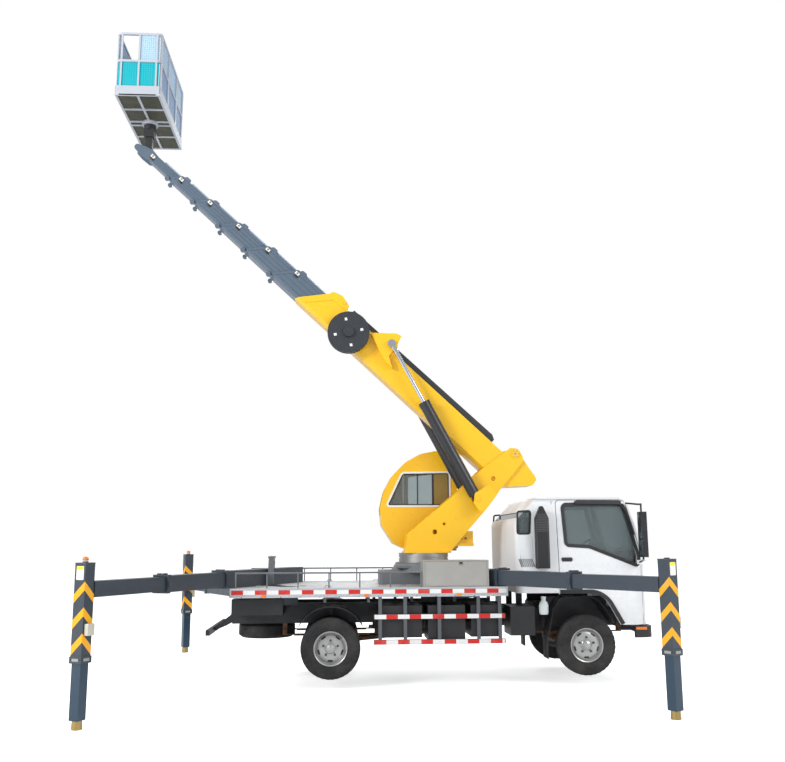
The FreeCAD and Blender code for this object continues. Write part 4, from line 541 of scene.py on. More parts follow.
def grown(points, d):
    """An outline moved outwards by d."""
    n = len(points)
    turn = sum(points[i - 1].x * points[i].y - points[i].x * points[i - 1].y for i in range(n))
    sign = 1 if turn > 0 else -1
    made = []
    for i in range(n):
        a = (points[i] - points[i - 1]).normalized()
        b = (points[(i + 1) % n] - points[i]).normalized()
        na, nb = Vector((a.y, -a.x)) * sign, Vector((b.y, -b.x)) * sign
        made.append(points[i] + (na + nb) * d / (1 + na.dot(nb)))
    return made


def beside(path, d):
    """An open path and its parallel at distance d, closed to an outline."""
    far = []
    for i, p in enumerate(path):
        along = (path[min(i + 1, len(path) - 1)] - path[max(i - 1, 0)]).normalized()
        far.append(p + Vector((-along.y, along.x)) * d)
    return list(path) + far[::-1]


def boom_matrix(y=0.0):
    """Local X along the boom, Y square to it and up, Z across the truck to its left."""
    return facing(PIVOT + Vector((0, y, 0)), ALONG, SQUARE, Vector((0, 1, 0)))


# -------- wheels


def tyre(place_name, body, x, ys):
    """Tyres with grooves round the tread and sipes across its shoulders."""
    # radius, place across, 1 where sipes cut in, 2 where lugs stand at the shoulder
    profile = [
        (0.2085, -0.62, 0), (0.222, -0.86, 0), (0.235, -0.90, 0), (0.262, -0.985, 0), (0.300, -0.998, 0),
        (0.330, -0.975, 0), (0.352, -0.93, 2), (0.372, -0.83, 2), (0.3855, -0.70, 1), (0.387, -0.48, 1),
        (0.387, -0.44, 0), (0.377, -0.425, 0), (0.377, -0.365, 0), (0.387, -0.35, 0), (0.3872, -0.10, 1),
        (0.3872, -0.045, 0), (0.377, -0.03, 0)]
    profile = profile + [(rad, -y, k) for rad, y, k in reversed(profile)]
    half, around = TYRE_W / 2, 144
    piece = Piece("dressed_tyre_" + place_name, body, "tyre_rubber")
    for y in ys:
        verts = []
        for rad, across, kind in profile:
            for k in range(around):
                cut = 0.005 if kind == 1 and k % 4 == 0 else 0.004 if kind == 2 and k % 4 < 2 else 0.0
                turn = 2 * math.pi * (k + (0.5 if across > 0 else 0)) / around
                out = min(rad, TYRE_R) - cut
                verts.append((x + out * math.cos(turn), y + across * half, AXLE_Z + out * math.sin(turn)))
        n = len(profile)
        piece.faces(verts, strips([(i, (i + 1) % n) for i in range(n)], around), RUBBER, None, True)
    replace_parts(piece.done(sharp=28), "tyre_" + place_name)


def wheel_matrix(x, y, side):
    """Local Z out along the axle, to the side that the wheel's face points to."""
    return facing((x, y, AXLE_Z), (1, 0, 0), (0, 0, -side), (0, side, 0))


def wheel_barrel(piece, x, y, side):
    """A drop-centre rim: both flanges, the bead seats and the well between them."""
    outside = [(0.219, -0.086), (0.2085, -0.083), (0.2070, -0.058), (0.190, -0.042), (0.190, 0.024),
               (0.2070, 0.046), (0.2085, 0.082), (0.219, 0.086)]
    inside = [(0.216, 0.0905), (0.204, 0.085), (0.201, 0.048), (0.184, 0.026), (0.184, -0.042),
              (0.201, -0.058), (0.204, -0.085), (0.216, -0.0905)]
    piece.lathe(outside + inside, wheel_matrix(x, y, side), SILVER, 64, ring=True)


def wheel_face(piece, x, y, side, dish):
    """The disc with flat black faces of painted shade standing for its slots near the rim, five nuts and the
    hub's cap.
    """
    m = wheel_matrix(x, y + side * dish, side)
    disc = [(0.030, 0.036), (0.100, 0.036), (0.120, 0.034), (0.150, 0.030), (0.172, 0.022), (0.188, 0.006),
            (0.186, 0.000), (0.170, 0.014), (0.148, 0.022), (0.100, 0.027), (0.030, 0.027)]
    cap = [(0.074, 0.034), (0.072, 0.050), (0.064, 0.058), (0.062, 0.050), (0.052, 0.050), (0.050, 0.066),
           (0.040, 0.070), (0.038, 0.078), (0.024, 0.084), (0.0, 0.085)]
    piece.lathe(disc, m, SILVER, 64, ring=True)
    piece.lathe(cap, m, SILVER, 32)
    slot = rect(0.146, -0.034, 0.170, 0.034, 0.011, 3)
    for k in range(5):
        turn = 2 * math.pi * k / 5 + 0.3
        at = m @ Vector((0.098 * math.cos(turn), 0.098 * math.sin(turn), 0.034))
        piece.rod(at, at + Vector((0, side * 0.024, 0)), 0.0155, IRON, 6, 0.003)
        piece.rod(at, at + Vector((0, side * 0.032, 0)), 0.0075, IRON, 10)
        spin = m @ Matrix.Rotation(turn + math.pi / 5, 4, "Z")
        # each slot is a flat black face on the disc: painted shade for the dark seen through it
        slot_shade = [spin @ Vector((p.x, p.y, 0.0312 - max(0.0, p.x - 0.150) * 0.36)) for p in slot]
        piece.faces(slot_shade, [tuple(range(len(slot_shade)))], BLACK)


def wheels():
    for body, place_name, x, y, side in WHEELS:
        tyre(place_name, body, x, [y] if "front" in body else [y, y - side * TWIN_PITCH])
    for body, place_name, x, y, side in WHEELS:
        piece = Piece("dressed_rim_" + place_name, body, "wheel_silver")
        wheel_barrel(piece, x, y, side)
        if "front" in body:
            wheel_face(piece, x, y, side, 0.020)
        else:
            wheel_face(piece, x, y, side, -0.010)
            wheel_barrel(piece, x, y - side * TWIN_PITCH, side)
            wheel_face(piece, x, y - side * TWIN_PITCH, -side, -0.010)
        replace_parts(piece.done(), "rim_" + place_name)


wheels()

# -------- outriggers


def arm_place(arm):
    """Local X out along the beam, Y across it, Z up, from the mouth's middle; and the distance to the leg."""
    _, side, mouth_x, leg_x, z = arm
    mouth = Vector((mouth_x, side * MOUTH_Y, z))
    out = Vector((leg_x, side * LEG_Y, z)) - mouth
    reach = out.length
    out.normalize()
    return facing(mouth, out, Vector((0, 0, 1)).cross(out), (0, 0, 1)), reach


def leg_marks(arm):
    """Chevrons and blank plates on the leg's housing, its cap, its lower ring's plates and a terminal box."""
    name, side, _, leg_x, z = arm
    m, reach = arm_place(arm)
    piece = Piece("leg_marks_" + name, "outrigger_stage_2_" + name, "beam_paint")
    h, tape, plate = LEG_HALF, 0.0012, 0.0018
    near = side * (1 if leg_x > 0 else -1)

    def on_face(nx, ny):
        """Across and height on one face of the leg, and a distance out from it."""
        return lambda u, v, out: m @ Vector((reach + nx * (h + out) + (0 if nx else u),
                                             ny * (h + out) + (0 if ny else u), v - z))

    # the out face and the inner face share one apex, and so do the across faces
    for apex in CHEVRON_TOPS:
        foot = apex - CHEVRON_DROP
        for (nx, ny), high in (((1, 0), near), ((0, near), 1), ((-1, 0), -near), ((0, -near), -1)):
            piece.slab([(-h * high, foot), (h * high, apex), (h * high, apex - CHEVRON_THICK),
                        (-h * high, foot - CHEVRON_THICK)], on_face(nx, ny), 0.0, tape, AMBER_PAINT)
    piece.slab(rect(-0.048, 1.485, 0.048, 1.625, 0.008), on_face(1, 0), 0.0, plate, PLATE_WHITE)
    piece.slab(rect(-0.046, 1.590, 0.046, 1.622), on_face(1, 0), 0.0015, 0.0024, PLATE_YELLOW)
    # cap, shoulder plates over the ring, and their bolts
    cap = h + 0.004
    piece.box((reach - cap, -cap, LEG_TOP - 0.012 - z), (reach + cap, cap, LEG_TOP - z), SLATE, m, 0.006)
    top = m @ Vector((reach, 0, LEG_TOP + 0.012 - z))
    piece.rod(m @ Vector((reach, 0, LEG_TOP - 0.001 - z)), top, 0.032, SLATE, 20, 0.004)
    ring, wide, pitch = h + 0.008, 0.042, 0.055
    for nx, ny in ((1, 0), (0, 1), (-1, 0), (0, -1)):
        x, y = reach + nx * ring, ny * ring
        piece.box((x - 0.0005 if nx else x - wide, y - 0.0005 if ny else y - wide, 0.672 - z),
                  (x + 0.0015 if nx else x + wide, y + 0.0015 if ny else y + wide, 0.700 - z), STAINLESS, m)
        piece.bolts([m @ Vector((x + (0 if nx else pitch * k), y + (0 if ny else pitch * k), 0.690 - z))
                     for k in (-1, 1)], m.to_3x3() @ Vector((nx, ny, 0)), 0.008, 0.006, IRON)
    # terminal box on the face that looks along the truck
    piece.box((reach - 0.050, -side * h, 0.925 - z), (reach + 0.050, -side * (h + 0.055), 1.045 - z), CREAM,
              m, 0.008)
    if "rear" in name:
        piece.rod(top, top + Vector((0, 0, 0.012)), 0.026, PLATE_WHITE, 20)
        piece.lathe([(0.030, 0.0), (0.032, 0.012), (0.028, 0.026), (0.016, 0.036), (0.0, 0.038)],
                    Matrix.Translation(top + Vector((0, 0, 0.011))), AMBER, 24)
    piece.done()


def beam_marks(arm):
    """Plates and bolts on the first stage's collar, and on the mouth that it slides in."""
    name = arm[0]
    m, reach = arm_place(arm)
    end, half = reach * 0.49, STAGE_1_HALF
    stage = Piece("collar_plates_" + name, "outrigger_stage_1_" + name, "beam_paint")
    stage.box((end - 0.075, -0.05, half - 0.001), (end + 0.002, 0.05, half + 0.016), SLATE, m, 0.004)
    for way in (-1, 1):
        y = way * half + way * 0.010
        stage.box((end - 0.050, way * half, -0.04), (end - 0.010, y, 0.04), SLATE, m, 0.003)
        stage.bolts([m @ Vector((end - 0.030, y, k * 0.026)) for k in (-1, 1)],
                    m.to_3x3() @ Vector((0, way, 0)), 0.009, 0.007, IRON)
    stage.done()
    mouth = Piece("mouth_plates_" + name, "chassis", "beam_paint")
    half = MOUTH_HALF
    for way in (-1, 1):
        mouth.bolts([m @ Vector((-0.022, way * half, k * 0.06)) for k in (-1, 0, 1)],
                    m.to_3x3() @ Vector((0, way, 0)), 0.010, 0.008, IRON)
    mouth.box((-0.044, -0.06, half - 0.001), (-0.004, 0.06, half + 0.012), SLATE, m, 0.003)
    mouth.done()


def foot_cover(arm):
    """A bare sleeve round a jack's foot."""
    name, side, _, leg_x, _ = arm
    piece = Piece("foot_cover_" + name, "jack_leg_" + name, "bare_steel")
    piece.lathe([(0.0546, 0.002), (0.0546, 0.022), (0.0536, 0.045), (0.0512, 0.088), (0.0495, 0.088),
                 (0.0495, 0.002)], Matrix.Translation((leg_x, side * LEG_Y, 0.0)), BRASS, 40, ring=True)
    piece.done()


for arm_row in ARMS:
    leg_marks(arm_row)
    beam_marks(arm_row)
    foot_cover(arm_row)

# -------- deck and guards


def stripes(piece, side, x0, x1, heights, y, red):
    """Red and white reflective tape along a rail."""
    x = x0
    while x < x1 - 0.01:
        end = min(x + 0.150, x1)
        piece.box((x, side * y, heights[0]), (end, side * (y + 0.0015), heights[1]),
                  RED_TAPE if red else WHITE_TAPE)
        x, red = end, not red


def strip_end(side):
    """The low beams of the left side leave through the front end of its edge."""
    return DECK_FRONT - (0.180 if side > 0 else 0.020)


def deck_marks():
    """Tape and small lamps round the deck and its side guards."""
    piece = Piece("reflective_tape", "chassis", "guard_paint")
    low, high = EDGE_TAPE
    for side in (-1, 1):
        stripes(piece, side, DECK_REAR + 0.02, strip_end(side), EDGE_TAPE, DECK_HALF, True)
        stripes(piece, side, GUARD_REAR, GUARD_FRONT, UPPER_TAPE, DECK_HALF - 0.002, False)
        stripes(piece, side, GUARD_REAR, GUARD_FRONT, LOWER_TAPE, DECK_HALF - 0.002, True)
        for x in (-1.42, -0.10, 1.10):
            piece.box((x - 0.03, side * DECK_HALF, 1.160), (x + 0.03, side * (DECK_HALF + 0.018), 1.192),
                      AMBER, None, 0.005)
    for k in range(11):
        y = -1.0 + 0.2 * k
        if 0.5 < y < 0.9:
            continue  # a low beam leaves through here
        piece.box((DECK_REAR - 0.0015, y - 0.1, low), (DECK_REAR, y + 0.1, high),
                  RED_TAPE if k % 2 else WHITE_TAPE)
    piece.done()


def deck_fittings():
    """Bright edge strips with screws, lashing rings and hatches."""
    piece = Piece("deck_fittings", "chassis", "guard_paint")
    for side in (-1, 1):
        y0, y1 = side * (DECK_HALF - 0.001), side * (DECK_HALF + 0.004)
        piece.box((DECK_REAR, y0, DECK_TOP - 0.022), (DECK_FRONT, y1, DECK_TOP), ALUMINIUM)
        piece.box((DECK_REAR, y0, 1.155), (strip_end(side), y1, 1.172), ALUMINIUM)
        for k in range(14):
            x = min(DECK_REAR + 0.15 + k * 0.25, strip_end(side) - 0.05)
            piece.bolts([(x, side * (DECK_HALF + 0.003), 1.1635)], (0, side, 0), 0.007, 0.005, IRON)
    foot, loop = DECK_TOP + 0.004, DECK_TOP + 0.022
    for x in (-1.5, -0.6, 0.1):
        for y in (-0.92, 0.92):
            piece.box((x - 0.06, y - 0.04, DECK_TOP), (x + 0.06, y + 0.04, foot), STAINLESS, None, 0.002)
            piece.tube([(x - 0.03, y, foot), (x - 0.025, y, loop), (x + 0.025, y, loop), (x + 0.03, y, foot)],
                       0.005, STAINLESS, 8, 5)
    for x in (-1.15, 0.20):
        piece.box((x, -0.62, DECK_TOP), (x + 0.42, -0.20, DECK_TOP + 0.004), CHECKER, None, 0.002)
        piece.box((x + 0.17, -0.60, DECK_TOP + 0.003), (x + 0.25, -0.57, DECK_TOP + 0.008), IRON, None, 0.002)
    piece.done()


deck_marks()
deck_fittings()

# -------- truck cab


def cab_side(side):
    """Truck length and height on the cab's side, which leans in above its belt, and a distance out."""
    def place(x, z, out):
        lean = max(0.0, z - 1.56) * 0.095 / 0.878
        return Vector((x, side * (CAB_HALF - lean + out), z))
    return place


def cab_front(y, z, out):
    """Across and height on the cab's front, and a distance out from it; it leans back in two steps."""
    slope = CAB_NOSE
    if z >= 1.64:
        slope = 3.65 - (z - 1.64) * 0.304
    elif z >= 1.5:
        slope = CAB_NOSE - (z - 1.5) * 0.214
    return Vector((min(CAB_NOSE - NOSE_ROUND * abs(y), slope) + out, y, z))


def door_trim(side):
    """What a truck door carries: window seal, visor, arch flare, handle and the mirror's glass."""
    word = "left" if side > 0 else "right"
    place = cab_side(side)
    piece = Piece("door_trim_" + word, "truck_door_" + word, "black_plastic")
    window = rounded([(2.572, 1.806, 0.04), (2.550, 2.335, 0.05), (3.355, 2.335, 0.04), (3.530, 1.650, 0.06),
                      (3.515, 1.532, 0.03), (2.880, 1.786, 0.1)])
    piece.band(grown(window, 0.030), grown(window, -0.014), place, 0.0, 0.008, BLACK)
    # rain visor along the top and down the front pillar
    visor = rounded([(2.67, 2.350, 0.02), (2.74, 2.398, 0.02), (3.345, 2.392, 0.05), (3.425, 2.270, 0.05),
                     (3.500, 1.930), (3.482, 1.930), (3.405, 2.230, 0.05), (3.325, 2.338, 0.04)])
    piece.slab(visor, place, 0.0, 0.034, BLACK)
    # inner lining, seen through the window
    piece.slab([(2.60, 1.800), (3.49, 1.560), (3.50, 1.500), (2.60, 1.720)], place, -0.060, -0.034, TRIM)
    # arch flare
    arch = rounded([(2.460, 1.171), (3.029, 1.171, 0.3), (3.258, 0.764)], 10)
    piece.slab(beside(arch, 0.052), place, -0.020, 0.014, BLACK)
    # handle in a shallow recess
    piece.slab(rect(2.490, 1.585, 2.640, 1.640, 0.02), place, 0.0, 0.003, TRIM)
    piece.slab(rect(2.500, 1.607, 2.630, 1.632, 0.008), place, 0.003, 0.022, BLACK)
    # glass of both mirrors, a bright clip and the white foot of their bracket
    for z0, z1 in ((1.665, 1.860), (1.880, 2.205)):
        piece.box((3.513, side * 1.095, z0), (3.516, side * 1.240, z1), CHROME)
    piece.box((3.528, side * 1.145, 1.590), (3.562, side * 1.175, 1.612), SILVER, None, 0.004)
    piece.box((3.505, side * CAB_HALF, 1.545), (3.560, side * 1.03, 1.600), PLATE_WHITE, None, 0.006)
    piece.done()


def cab_sides(piece):
    """Quarter windows' seals, the rear corners' ribs with a grey strip of painted shade at each rib's slanted
    fold, panel seams and the air intake's louvres.
    """
    for side in (-1, 1):
        place = cab_side(side)
        quarter = rounded([(1.918, 1.955, 0.025), (2.078, 1.955, 0.025), (2.105, 2.255, 0.025),
                           (1.934, 2.245, 0.025)])
        piece.band(grown(quarter, 0.014), grown(quarter, -0.010), place, 0.0, 0.006, BLACK)
        for k in range(8):
            x = 1.925 + 0.0245 * k
            piece.slab(rect(x, 1.620, x + 0.011, 1.925, 0.003, 2), place, 0.0, 0.006, WHITE)
            # a grey slanted strip below each rib: painted shade of its fold
            fold = [(x - 0.012, 1.625), (x + 0.002, 1.625), (x + 0.040, 1.520), (x + 0.026, 1.520)]
            piece.slab(fold, place, 0.0, 0.003, GREY)
        # seams of the roof and corner panels
        seam = [(2.150, 2.405), (3.330, 2.408), (3.330, 2.412), (2.150, 2.409)]
        piece.slab(seam, place, -0.004, 0.0015, TRIM)
        piece.slab(rect(2.395, 1.190, 2.399, 2.390), place, -0.004, 0.001, GREY)
    face, proud = -1.0775, -1.0805
    for k in range(11):
        z = 1.98 + 0.022 * k
        piece.box((2.165, proud, z), (2.300, face, z + 0.010), TRIM)
    for x in (2.150, 2.300):
        piece.box((x, proud, 1.520), (x + 0.008, face, 2.140), TRIM)


def cab_nose(piece):
    """Windscreen surround and wipers, the dark panel and grille below, and the head lamps."""
    screen = rounded([(-0.80, 1.70, 0.06), (0.80, 1.70, 0.06), (0.77, 2.33, 0.08), (-0.77, 2.33, 0.08)])
    piece.band(grown(screen, 0.055), grown(screen, -0.012), cab_front, 0.0, 0.007, BLACK)
    for y in (-0.55, 0.05):
        at, tip_at = cab_front(y, 1.665, 0.012), cab_front(y + 0.42, 1.745, 0.020)
        piece.rod(at, at + Vector((0.020, 0, 0)), 0.016, BLACK, 16, 0.003)
        piece.tube([at + Vector((0.014, 0, 0)), at.lerp(tip_at, 0.5) + Vector((0.012, 0, 0)), tip_at], 0.006,
                   BLACK, 8, 5)
        piece.tube([cab_front(y + 0.10, 1.720, 0.012), cab_front(y + 0.42, 1.748, 0.012),
                    cab_front(y + 0.66, 1.740, 0.012)], 0.007, BLACK, 8, 5)
    for side in (-1, 1):
        def half_front(u, v, out):
            return Vector((CAB_NOSE - NOSE_ROUND * u + out, side * u, v))

        panel = rounded([(0.0, 1.480), (0.74, 1.480, 0.03), (0.74, 1.392, 0.03), (0.0, 1.392)])
        piece.slab(panel, half_front, 0.0, 0.006, BLACK)
        for k in range(3):
            z = 1.140 + 0.070 * k
            for up, wide, high, more, lo, hi, material in ((0.0, 0.60, 0.034, 0.02, 0.0, 0.005, BLACK),
                                                           (0.012, 0.60, 0.006, 0.005, 0.004, 0.011, SILVER)):
                bar = [(0.0, z + up), (wide, z + up), (wide + more, z + up + high), (0.0, z + up + high)]
                piece.slab(bar, half_front, lo, hi, material)
        lamp = rounded([(0.50, 0.880, 0.03), (0.740, 0.880, 0.03), (0.755, 1.060, 0.04), (0.50, 1.060, 0.03)])
        piece.band(grown(lamp, 0.012), grown(lamp, -0.010), half_front, 0.0, 0.008, BLACK)
        piece.slab(grown(lamp, -0.010), half_front, 0.0, 0.002, CHROME)
        for u in (0.565, 0.685):
            piece.lathe([(0.050, 0.006), (0.042, 0.003), (0.020, 0.0015), (0.0, 0.001)],
                        facing(half_front(u, 0.970, 0.0), (0, 1, 0), (0, 0, 1), (1, 0, 0)), SILVER, 24)
        piece.slab(grown(lamp, -0.008), half_front, 0.0065, 0.0085, CLEAR)


def chassis_fittings():
    """Side markers, black sheets of painted shade deep in the front wheels' arches, flaps at the front
    wheels, and the washer bottle.
    """
    piece = Piece("chassis_fittings", "chassis", "black_plastic")
    for side in (-1, 1):
        piece.box((3.455, side * 0.984, 0.700), (3.600, side * 0.990, 0.735), AMBER, None, 0.003)
        # a black sheet deep in each front wheel's arch, behind the wheel: painted shade for the dark inside
        # of the arch
        piece.box((2.310, side * 0.470, 0.700), (3.220, side * 0.476, 1.110), BLACK)
        piece.box((2.290, side * 0.600, 0.330), (2.298, side * 0.900, 0.640), RUBBER, None, 0.003)
    piece.lathe([(0.0, 0.0), (0.052, 0.004), (0.060, 0.030), (0.062, 0.120), (0.050, 0.160), (0.030, 0.178),
                 (0.028, 0.205), (0.034, 0.207), (0.034, 0.232), (0.0, 0.236)],
                Matrix.Translation((2.245, -0.930, 0.900)), MILKY, 24)
    piece.done()


door_trim(-1)
door_trim(1)
cab_body = Piece("cab_body_trim", "truck_cab", "black_plastic")
cab_sides(cab_body)
cab_nose(cab_body)
cab_body.done()
chassis_fittings()

# -------- boom, turret and basket


def section_marks(i):
    """Lines along the sides, rods along the top edges and the fittings on a section's head."""
    head = BASE_HEAD + HEAD_PITCH * i
    tail = head - 2.4
    half = 0.174 - 0.012 * (i - 1)
    bottom, top = -0.484 + 0.009 * (i - 1), -0.150 - 0.032 * (i - 1)
    m = boom_matrix()
    piece = Piece("section_%d_marks" % i, "telescope_%d" % i, "section_paint")
    for side in (-1, 1):
        inside = side * (half - 0.001)
        for share in (0.20, 0.42, 0.64, 0.84):
            c = bottom + (top - bottom) * share
            piece.box((tail, c - 0.0022, inside), (head - 0.16, c + 0.0022, side * (half + 0.0008)), SLATE, m)
        y = side * (half - 0.014)
        piece.rod(m @ Vector((tail, top + 0.0125, y)), m @ Vector((head - 0.33, top + 0.0125, y)), 0.011,
                  LIGHT_BLUE, 14, 0.003)
        # hose clamp with its bracket, just behind the slanted head near the top
        a = head - (top - bottom) * HEAD_SLANT - 0.012
        out = side * (half + 0.016)
        piece.box((a - 0.050, top - 0.075, inside), (a + 0.020, top - 0.030, out), PLATE_WHITE, m, 0.004)
        piece.box((a - 0.060, top - 0.105, inside), (a + 0.010, top - 0.078, out), BLACK, m, 0.004)
        stud = [m @ Vector((a - 0.015, top - 0.052, side * (half + out))) for out in (0.014, 0.022)]
        piece.rod(*stud, 0.015, BRASS, 16, 0.002)
    piece.done()


def turret_marks():
    """Bolts on the lift pivot's caps, and three plugs on the valve box behind the side plate."""
    piece = Piece("pivot_bolts", "turntable", "yellow_paint")
    for side in (-1, 1):
        y = side * 0.239 - side * 0.001
        for k in range(6):
            turn = math.pi * k / 3
            piece.bolts([(PIVOT.x + 0.044 * math.cos(turn), y, PIVOT.z + 0.044 * math.sin(turn))],
                        (0, side, 0), 0.008, 0.008, CHROME)
        at = Vector((PIVOT.x, y, PIVOT.z))
        piece.rod(at, at + Vector((0, side * 0.005, 0)), 0.018, STAINLESS, 20, 0.001)
    for x in (1.215, 1.275, 1.335):
        piece.rod((x, -0.151, 1.900), (x, -0.172, 1.900), 0.014, IRON, 6, 0.002)
    piece.done()


def reel_marks():
    """White patches and screws round the cable reel's outer flange."""
    m = boom_matrix(-0.335) @ Matrix.Translation((2.950, -0.355, 0.0))
    piece = Piece("reel_patches", "boom", "reel_paint")
    for k in range(4):
        turn = m @ Matrix.Rotation(math.pi * (0.5 * k + 0.2), 4, "Z")
        piece.box((0.175, -0.018, -0.0015), (0.215, 0.018, 0.0005), PLATE_WHITE, turn)
        for u, v, out, r in ((0.120, -0.06, 0.0005, 0.009), (0.120, 0.06, 0.0005, 0.009),
                             (0.045, 0.0, -0.0395, 0.008)):
            piece.bolts([turn @ Vector((u, v, out))], (0, -1, 0), r, 0.006, IRON)
    piece.done()


def toolbox_marks():
    """A dark latch, rivets along the edges, and grey strips of painted shade where a fold is pressed into the
    toolbox's door along its edges.
    """
    piece = Piece("toolbox_latch", "tool_door", "stainless")
    for x in (0.70, 0.90, 1.236, 1.436):
        for z in (1.315, 1.590):
            piece.bolts([(x, TOOL_DOOR_Y, z)], (0, -1, 0), 0.006, 0.003, CHROME)
    # grey strips along the door's left, right and top edges: painted shade of the pressed fold
    for x0, z0, x1 in ((0.66, 1.300, 0.664), (1.472, 1.300, 1.476), (0.66, 1.599, 1.476)):
        piece.box((x0, TOOL_DOOR_Y - 0.0020, z0), (x1, TOOL_DOOR_Y - 0.0003, 1.603), GREY)
    piece.box((1.112, -1.1085, 1.560), (1.154, -1.1055, 1.594), BLACK, None, 0.001)
    piece.rod((1.133, -1.108, 1.566), (1.133, -1.1095, 1.566), 0.008, CHROME, 16)
    piece.done()


def operator_window():
    """White and dark frames, the sliding pane's mullion and the lining seen beyond the post."""
    piece = Piece("operator_window_frame", "turntable", "black_plastic")

    def place(x, z, out):
        return Vector((x, OPERATOR_SIDE - out, z))

    window = rounded([(0.255, 2.385, 0.02), (0.480, 2.860, 0.06), (1.180, 2.870, 0.04), (1.180, 2.385, 0.04)])
    piece.band(grown(window, 0.024), grown(window, -0.004), place, 0.0, 0.006, PLATE_WHITE)
    piece.band(grown(window, -0.003), grown(window, -0.020), place, -0.004, 0.004, BLACK)
    for x, wide in ((0.705, 0.016), (0.935, 0.026)):
        piece.slab(rect(x - wide / 2, 2.400, x + wide / 2, 2.850), place, -0.004, 0.004, BLACK)
    piece.slab(rect(0.950, 2.402, 1.165, 2.850), place, -0.003, -0.001, BROWN)
    piece.done()


def basket_panels():
    """Perforated sheets and mesh between the basket's tubes, and a dark olive sheet of painted shade under
    its floor.
    """
    x0, x1, reach, floor, middle, top = -3.6905, -3.0505, 0.900, 8.185, 8.695, 9.135
    centre = (x0 + x1) / 2
    piece = Piece("basket_panels", "work_basket", "basket_metal")
    for side in (-1, 1):
        far, near = side * (reach - 0.018), side * (reach - 0.022)
        piece.box((x0 + 0.03, near, floor + 0.118), (x1 - 0.03, far, middle - 0.010), CYAN)
        rear, front = (centre, x1 - 0.03) if side < 0 else (x0 + 0.03, centre)
        piece.box((rear, near, middle + 0.010), (front, far, top - 0.03), END_MESH)
        piece.box((x0 + 0.06, side * reach, floor - 0.026),
                  (x1 - 0.06, side * (reach - 0.004), floor - 0.008), STAINLESS)
    for x, way in ((x0, 1), (x1, -1)):
        near, far = x + way * 0.018, x + way * 0.022
        piece.box((near, -0.87, floor + 0.118), (far, 0.87, middle - 0.010), BLUE_SHEET)
        piece.box((near, -0.87, middle + 0.010), (far, 0.87, top - 0.03), BLUE_MESH)
        for y in (-0.83, -0.31, 0.31, 0.83):
            piece.box((x, y - 0.034, floor), (x + way * 0.028, y + 0.034, top - 0.02), BASKET_WHITE,
                      None, 0.006)
    # a dark olive sheet just under the floor: painted shade under the basket
    piece.box((x0 + 0.01, -0.89, floor - 0.0105), (x1 - 0.01, 0.89, floor - 0.0078), UNDERSIDE_SHADE)
    piece.done()


for number in range(1, SECTIONS + 1):
    section_marks(number)
turret_marks()
reel_marks()
toolbox_marks()
operator_window()
basket_panels()

# -------- camera, lamps and backdrop


def camera():
    """Looks at the truck's right side from low down."""
    yaw, pitch, roll = (math.radians(angle) for angle in (3.37, 10.21, -0.31))
    look = Vector((math.sin(yaw) * math.cos(pitch), math.cos(yaw) * math.cos(pitch), math.sin(pitch)))
    right = Vector((math.cos(yaw), -math.sin(yaw), 0.0))
    up = right.cross(look)
    right, up = right * math.cos(roll) + up * math.sin(roll), up * math.cos(roll) - right * math.sin(roll)
    data = bpy.data.cameras.new("camera")
    data.lens, data.sensor_width = 40.9, 36.0
    data.clip_end = 200.0
    cam = put("camera", data)
    cam.matrix_world = facing((-0.444, -12.912, 1.858), right, up, -look)
    bpy.context.scene.camera = cam


def area_lamp(name, place, target, size, power):
    data = bpy.data.lights.new(name, "AREA")
    data.shape, data.size, data.energy = "DISK", size, power
    lamp = put(name, data)
    lamp.location = place
    lamp.rotation_euler = (Vector(target) - Vector(place)).to_track_quat("-Z", "Y").to_euler()


def new_nodes(tree, *kinds):
    return [tree.nodes.new("ShaderNode" + kind) for kind in kinds]


def wire(tree, *pairs):
    for start, end in pairs:
        tree.links.new(start, end)


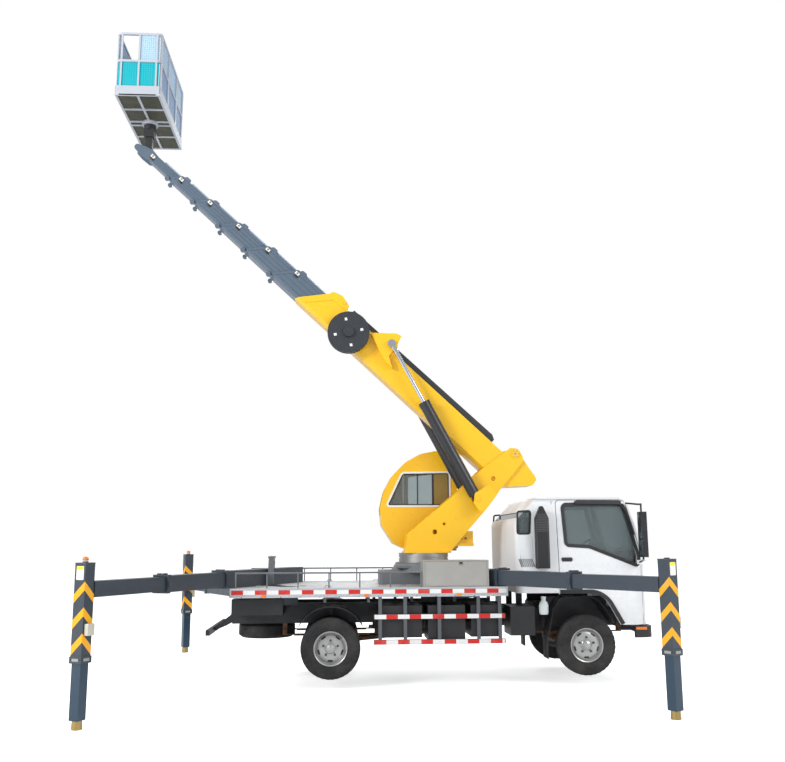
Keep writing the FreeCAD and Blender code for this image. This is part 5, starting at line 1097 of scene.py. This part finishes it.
def backdrop():
    """A wide pale floor and a world that both look white to the camera."""
    mesh = bpy.data.meshes.new("floor")
    reach, below = 60.0, -0.002
    corners = ((-1, -1), (1, -1), (1, 1), (-1, 1))
    mesh.from_pydata([(x * reach, y * reach, below) for x, y in corners], [], [(0, 1, 2, 3)])
    floor = put("floor", mesh)
    material = bpy.data.materials.new("floor")
    material.use_nodes = True
    tree = material.node_tree
    base = tree.nodes["Principled BSDF"]
    base.inputs["Base Color"].default_value = (0.9, 0.9, 0.9, 1.0)
    base.inputs["Roughness"].default_value = 0.9
    glow, path, both, pick = new_nodes(tree, "Emission", "LightPath", "AddShader", "MixShader")
    glow.inputs["Strength"].default_value = 0.62
    wire(tree, (base.outputs[0], both.inputs[0]), (glow.outputs[0], both.inputs[1]),
         (path.outputs["Is Camera Ray"], pick.inputs[0]), (base.outputs[0], pick.inputs[1]),
         (both.outputs[0], pick.inputs[2]),
         (pick.outputs[0], tree.nodes["Material Output"].inputs["Surface"]))
    mesh.materials.append(material)
    world = bpy.data.worlds.new("world")
    bpy.context.scene.world = world
    world.use_nodes = True
    tree = world.node_tree
    sky = tree.nodes["Background"]
    sky.inputs["Color"].default_value = (0.93, 0.96, 1.0, 1.0)
    sky.inputs["Strength"].default_value = 0.62
    seen, path, most, pick = new_nodes(tree, "Background", "LightPath", "Math", "MixShader")
    seen.inputs["Color"].default_value = (1, 1, 1, 1)
    seen.inputs["Strength"].default_value = 1.0
    most.operation = "MAXIMUM"
    wire(tree, (path.outputs["Is Camera Ray"], most.inputs[0]),
         (path.outputs["Is Transmission Ray"], most.inputs[1]), (most.outputs[0], pick.inputs[0]),
         (sky.outputs[0], pick.inputs[1]), (seen.outputs[0], pick.inputs[2]),
         (pick.outputs[0], tree.nodes["World Output"].inputs["Surface"]))


camera()
area_lamp("key", (-13.0, -10.0, 9.0), (-0.5, 0, 2.5), 6.0, 1900)
area_lamp("fill", (9.0, -8.0, 7.0), (1.0, 0, 2.0), 6.0, 500)
area_lamp("back", (2.0, 12.0, 10.0), (0, 0, 2.0), 7.0, 700)
backdrop()
bpy.context.scene.view_settings.view_transform = "Standard"
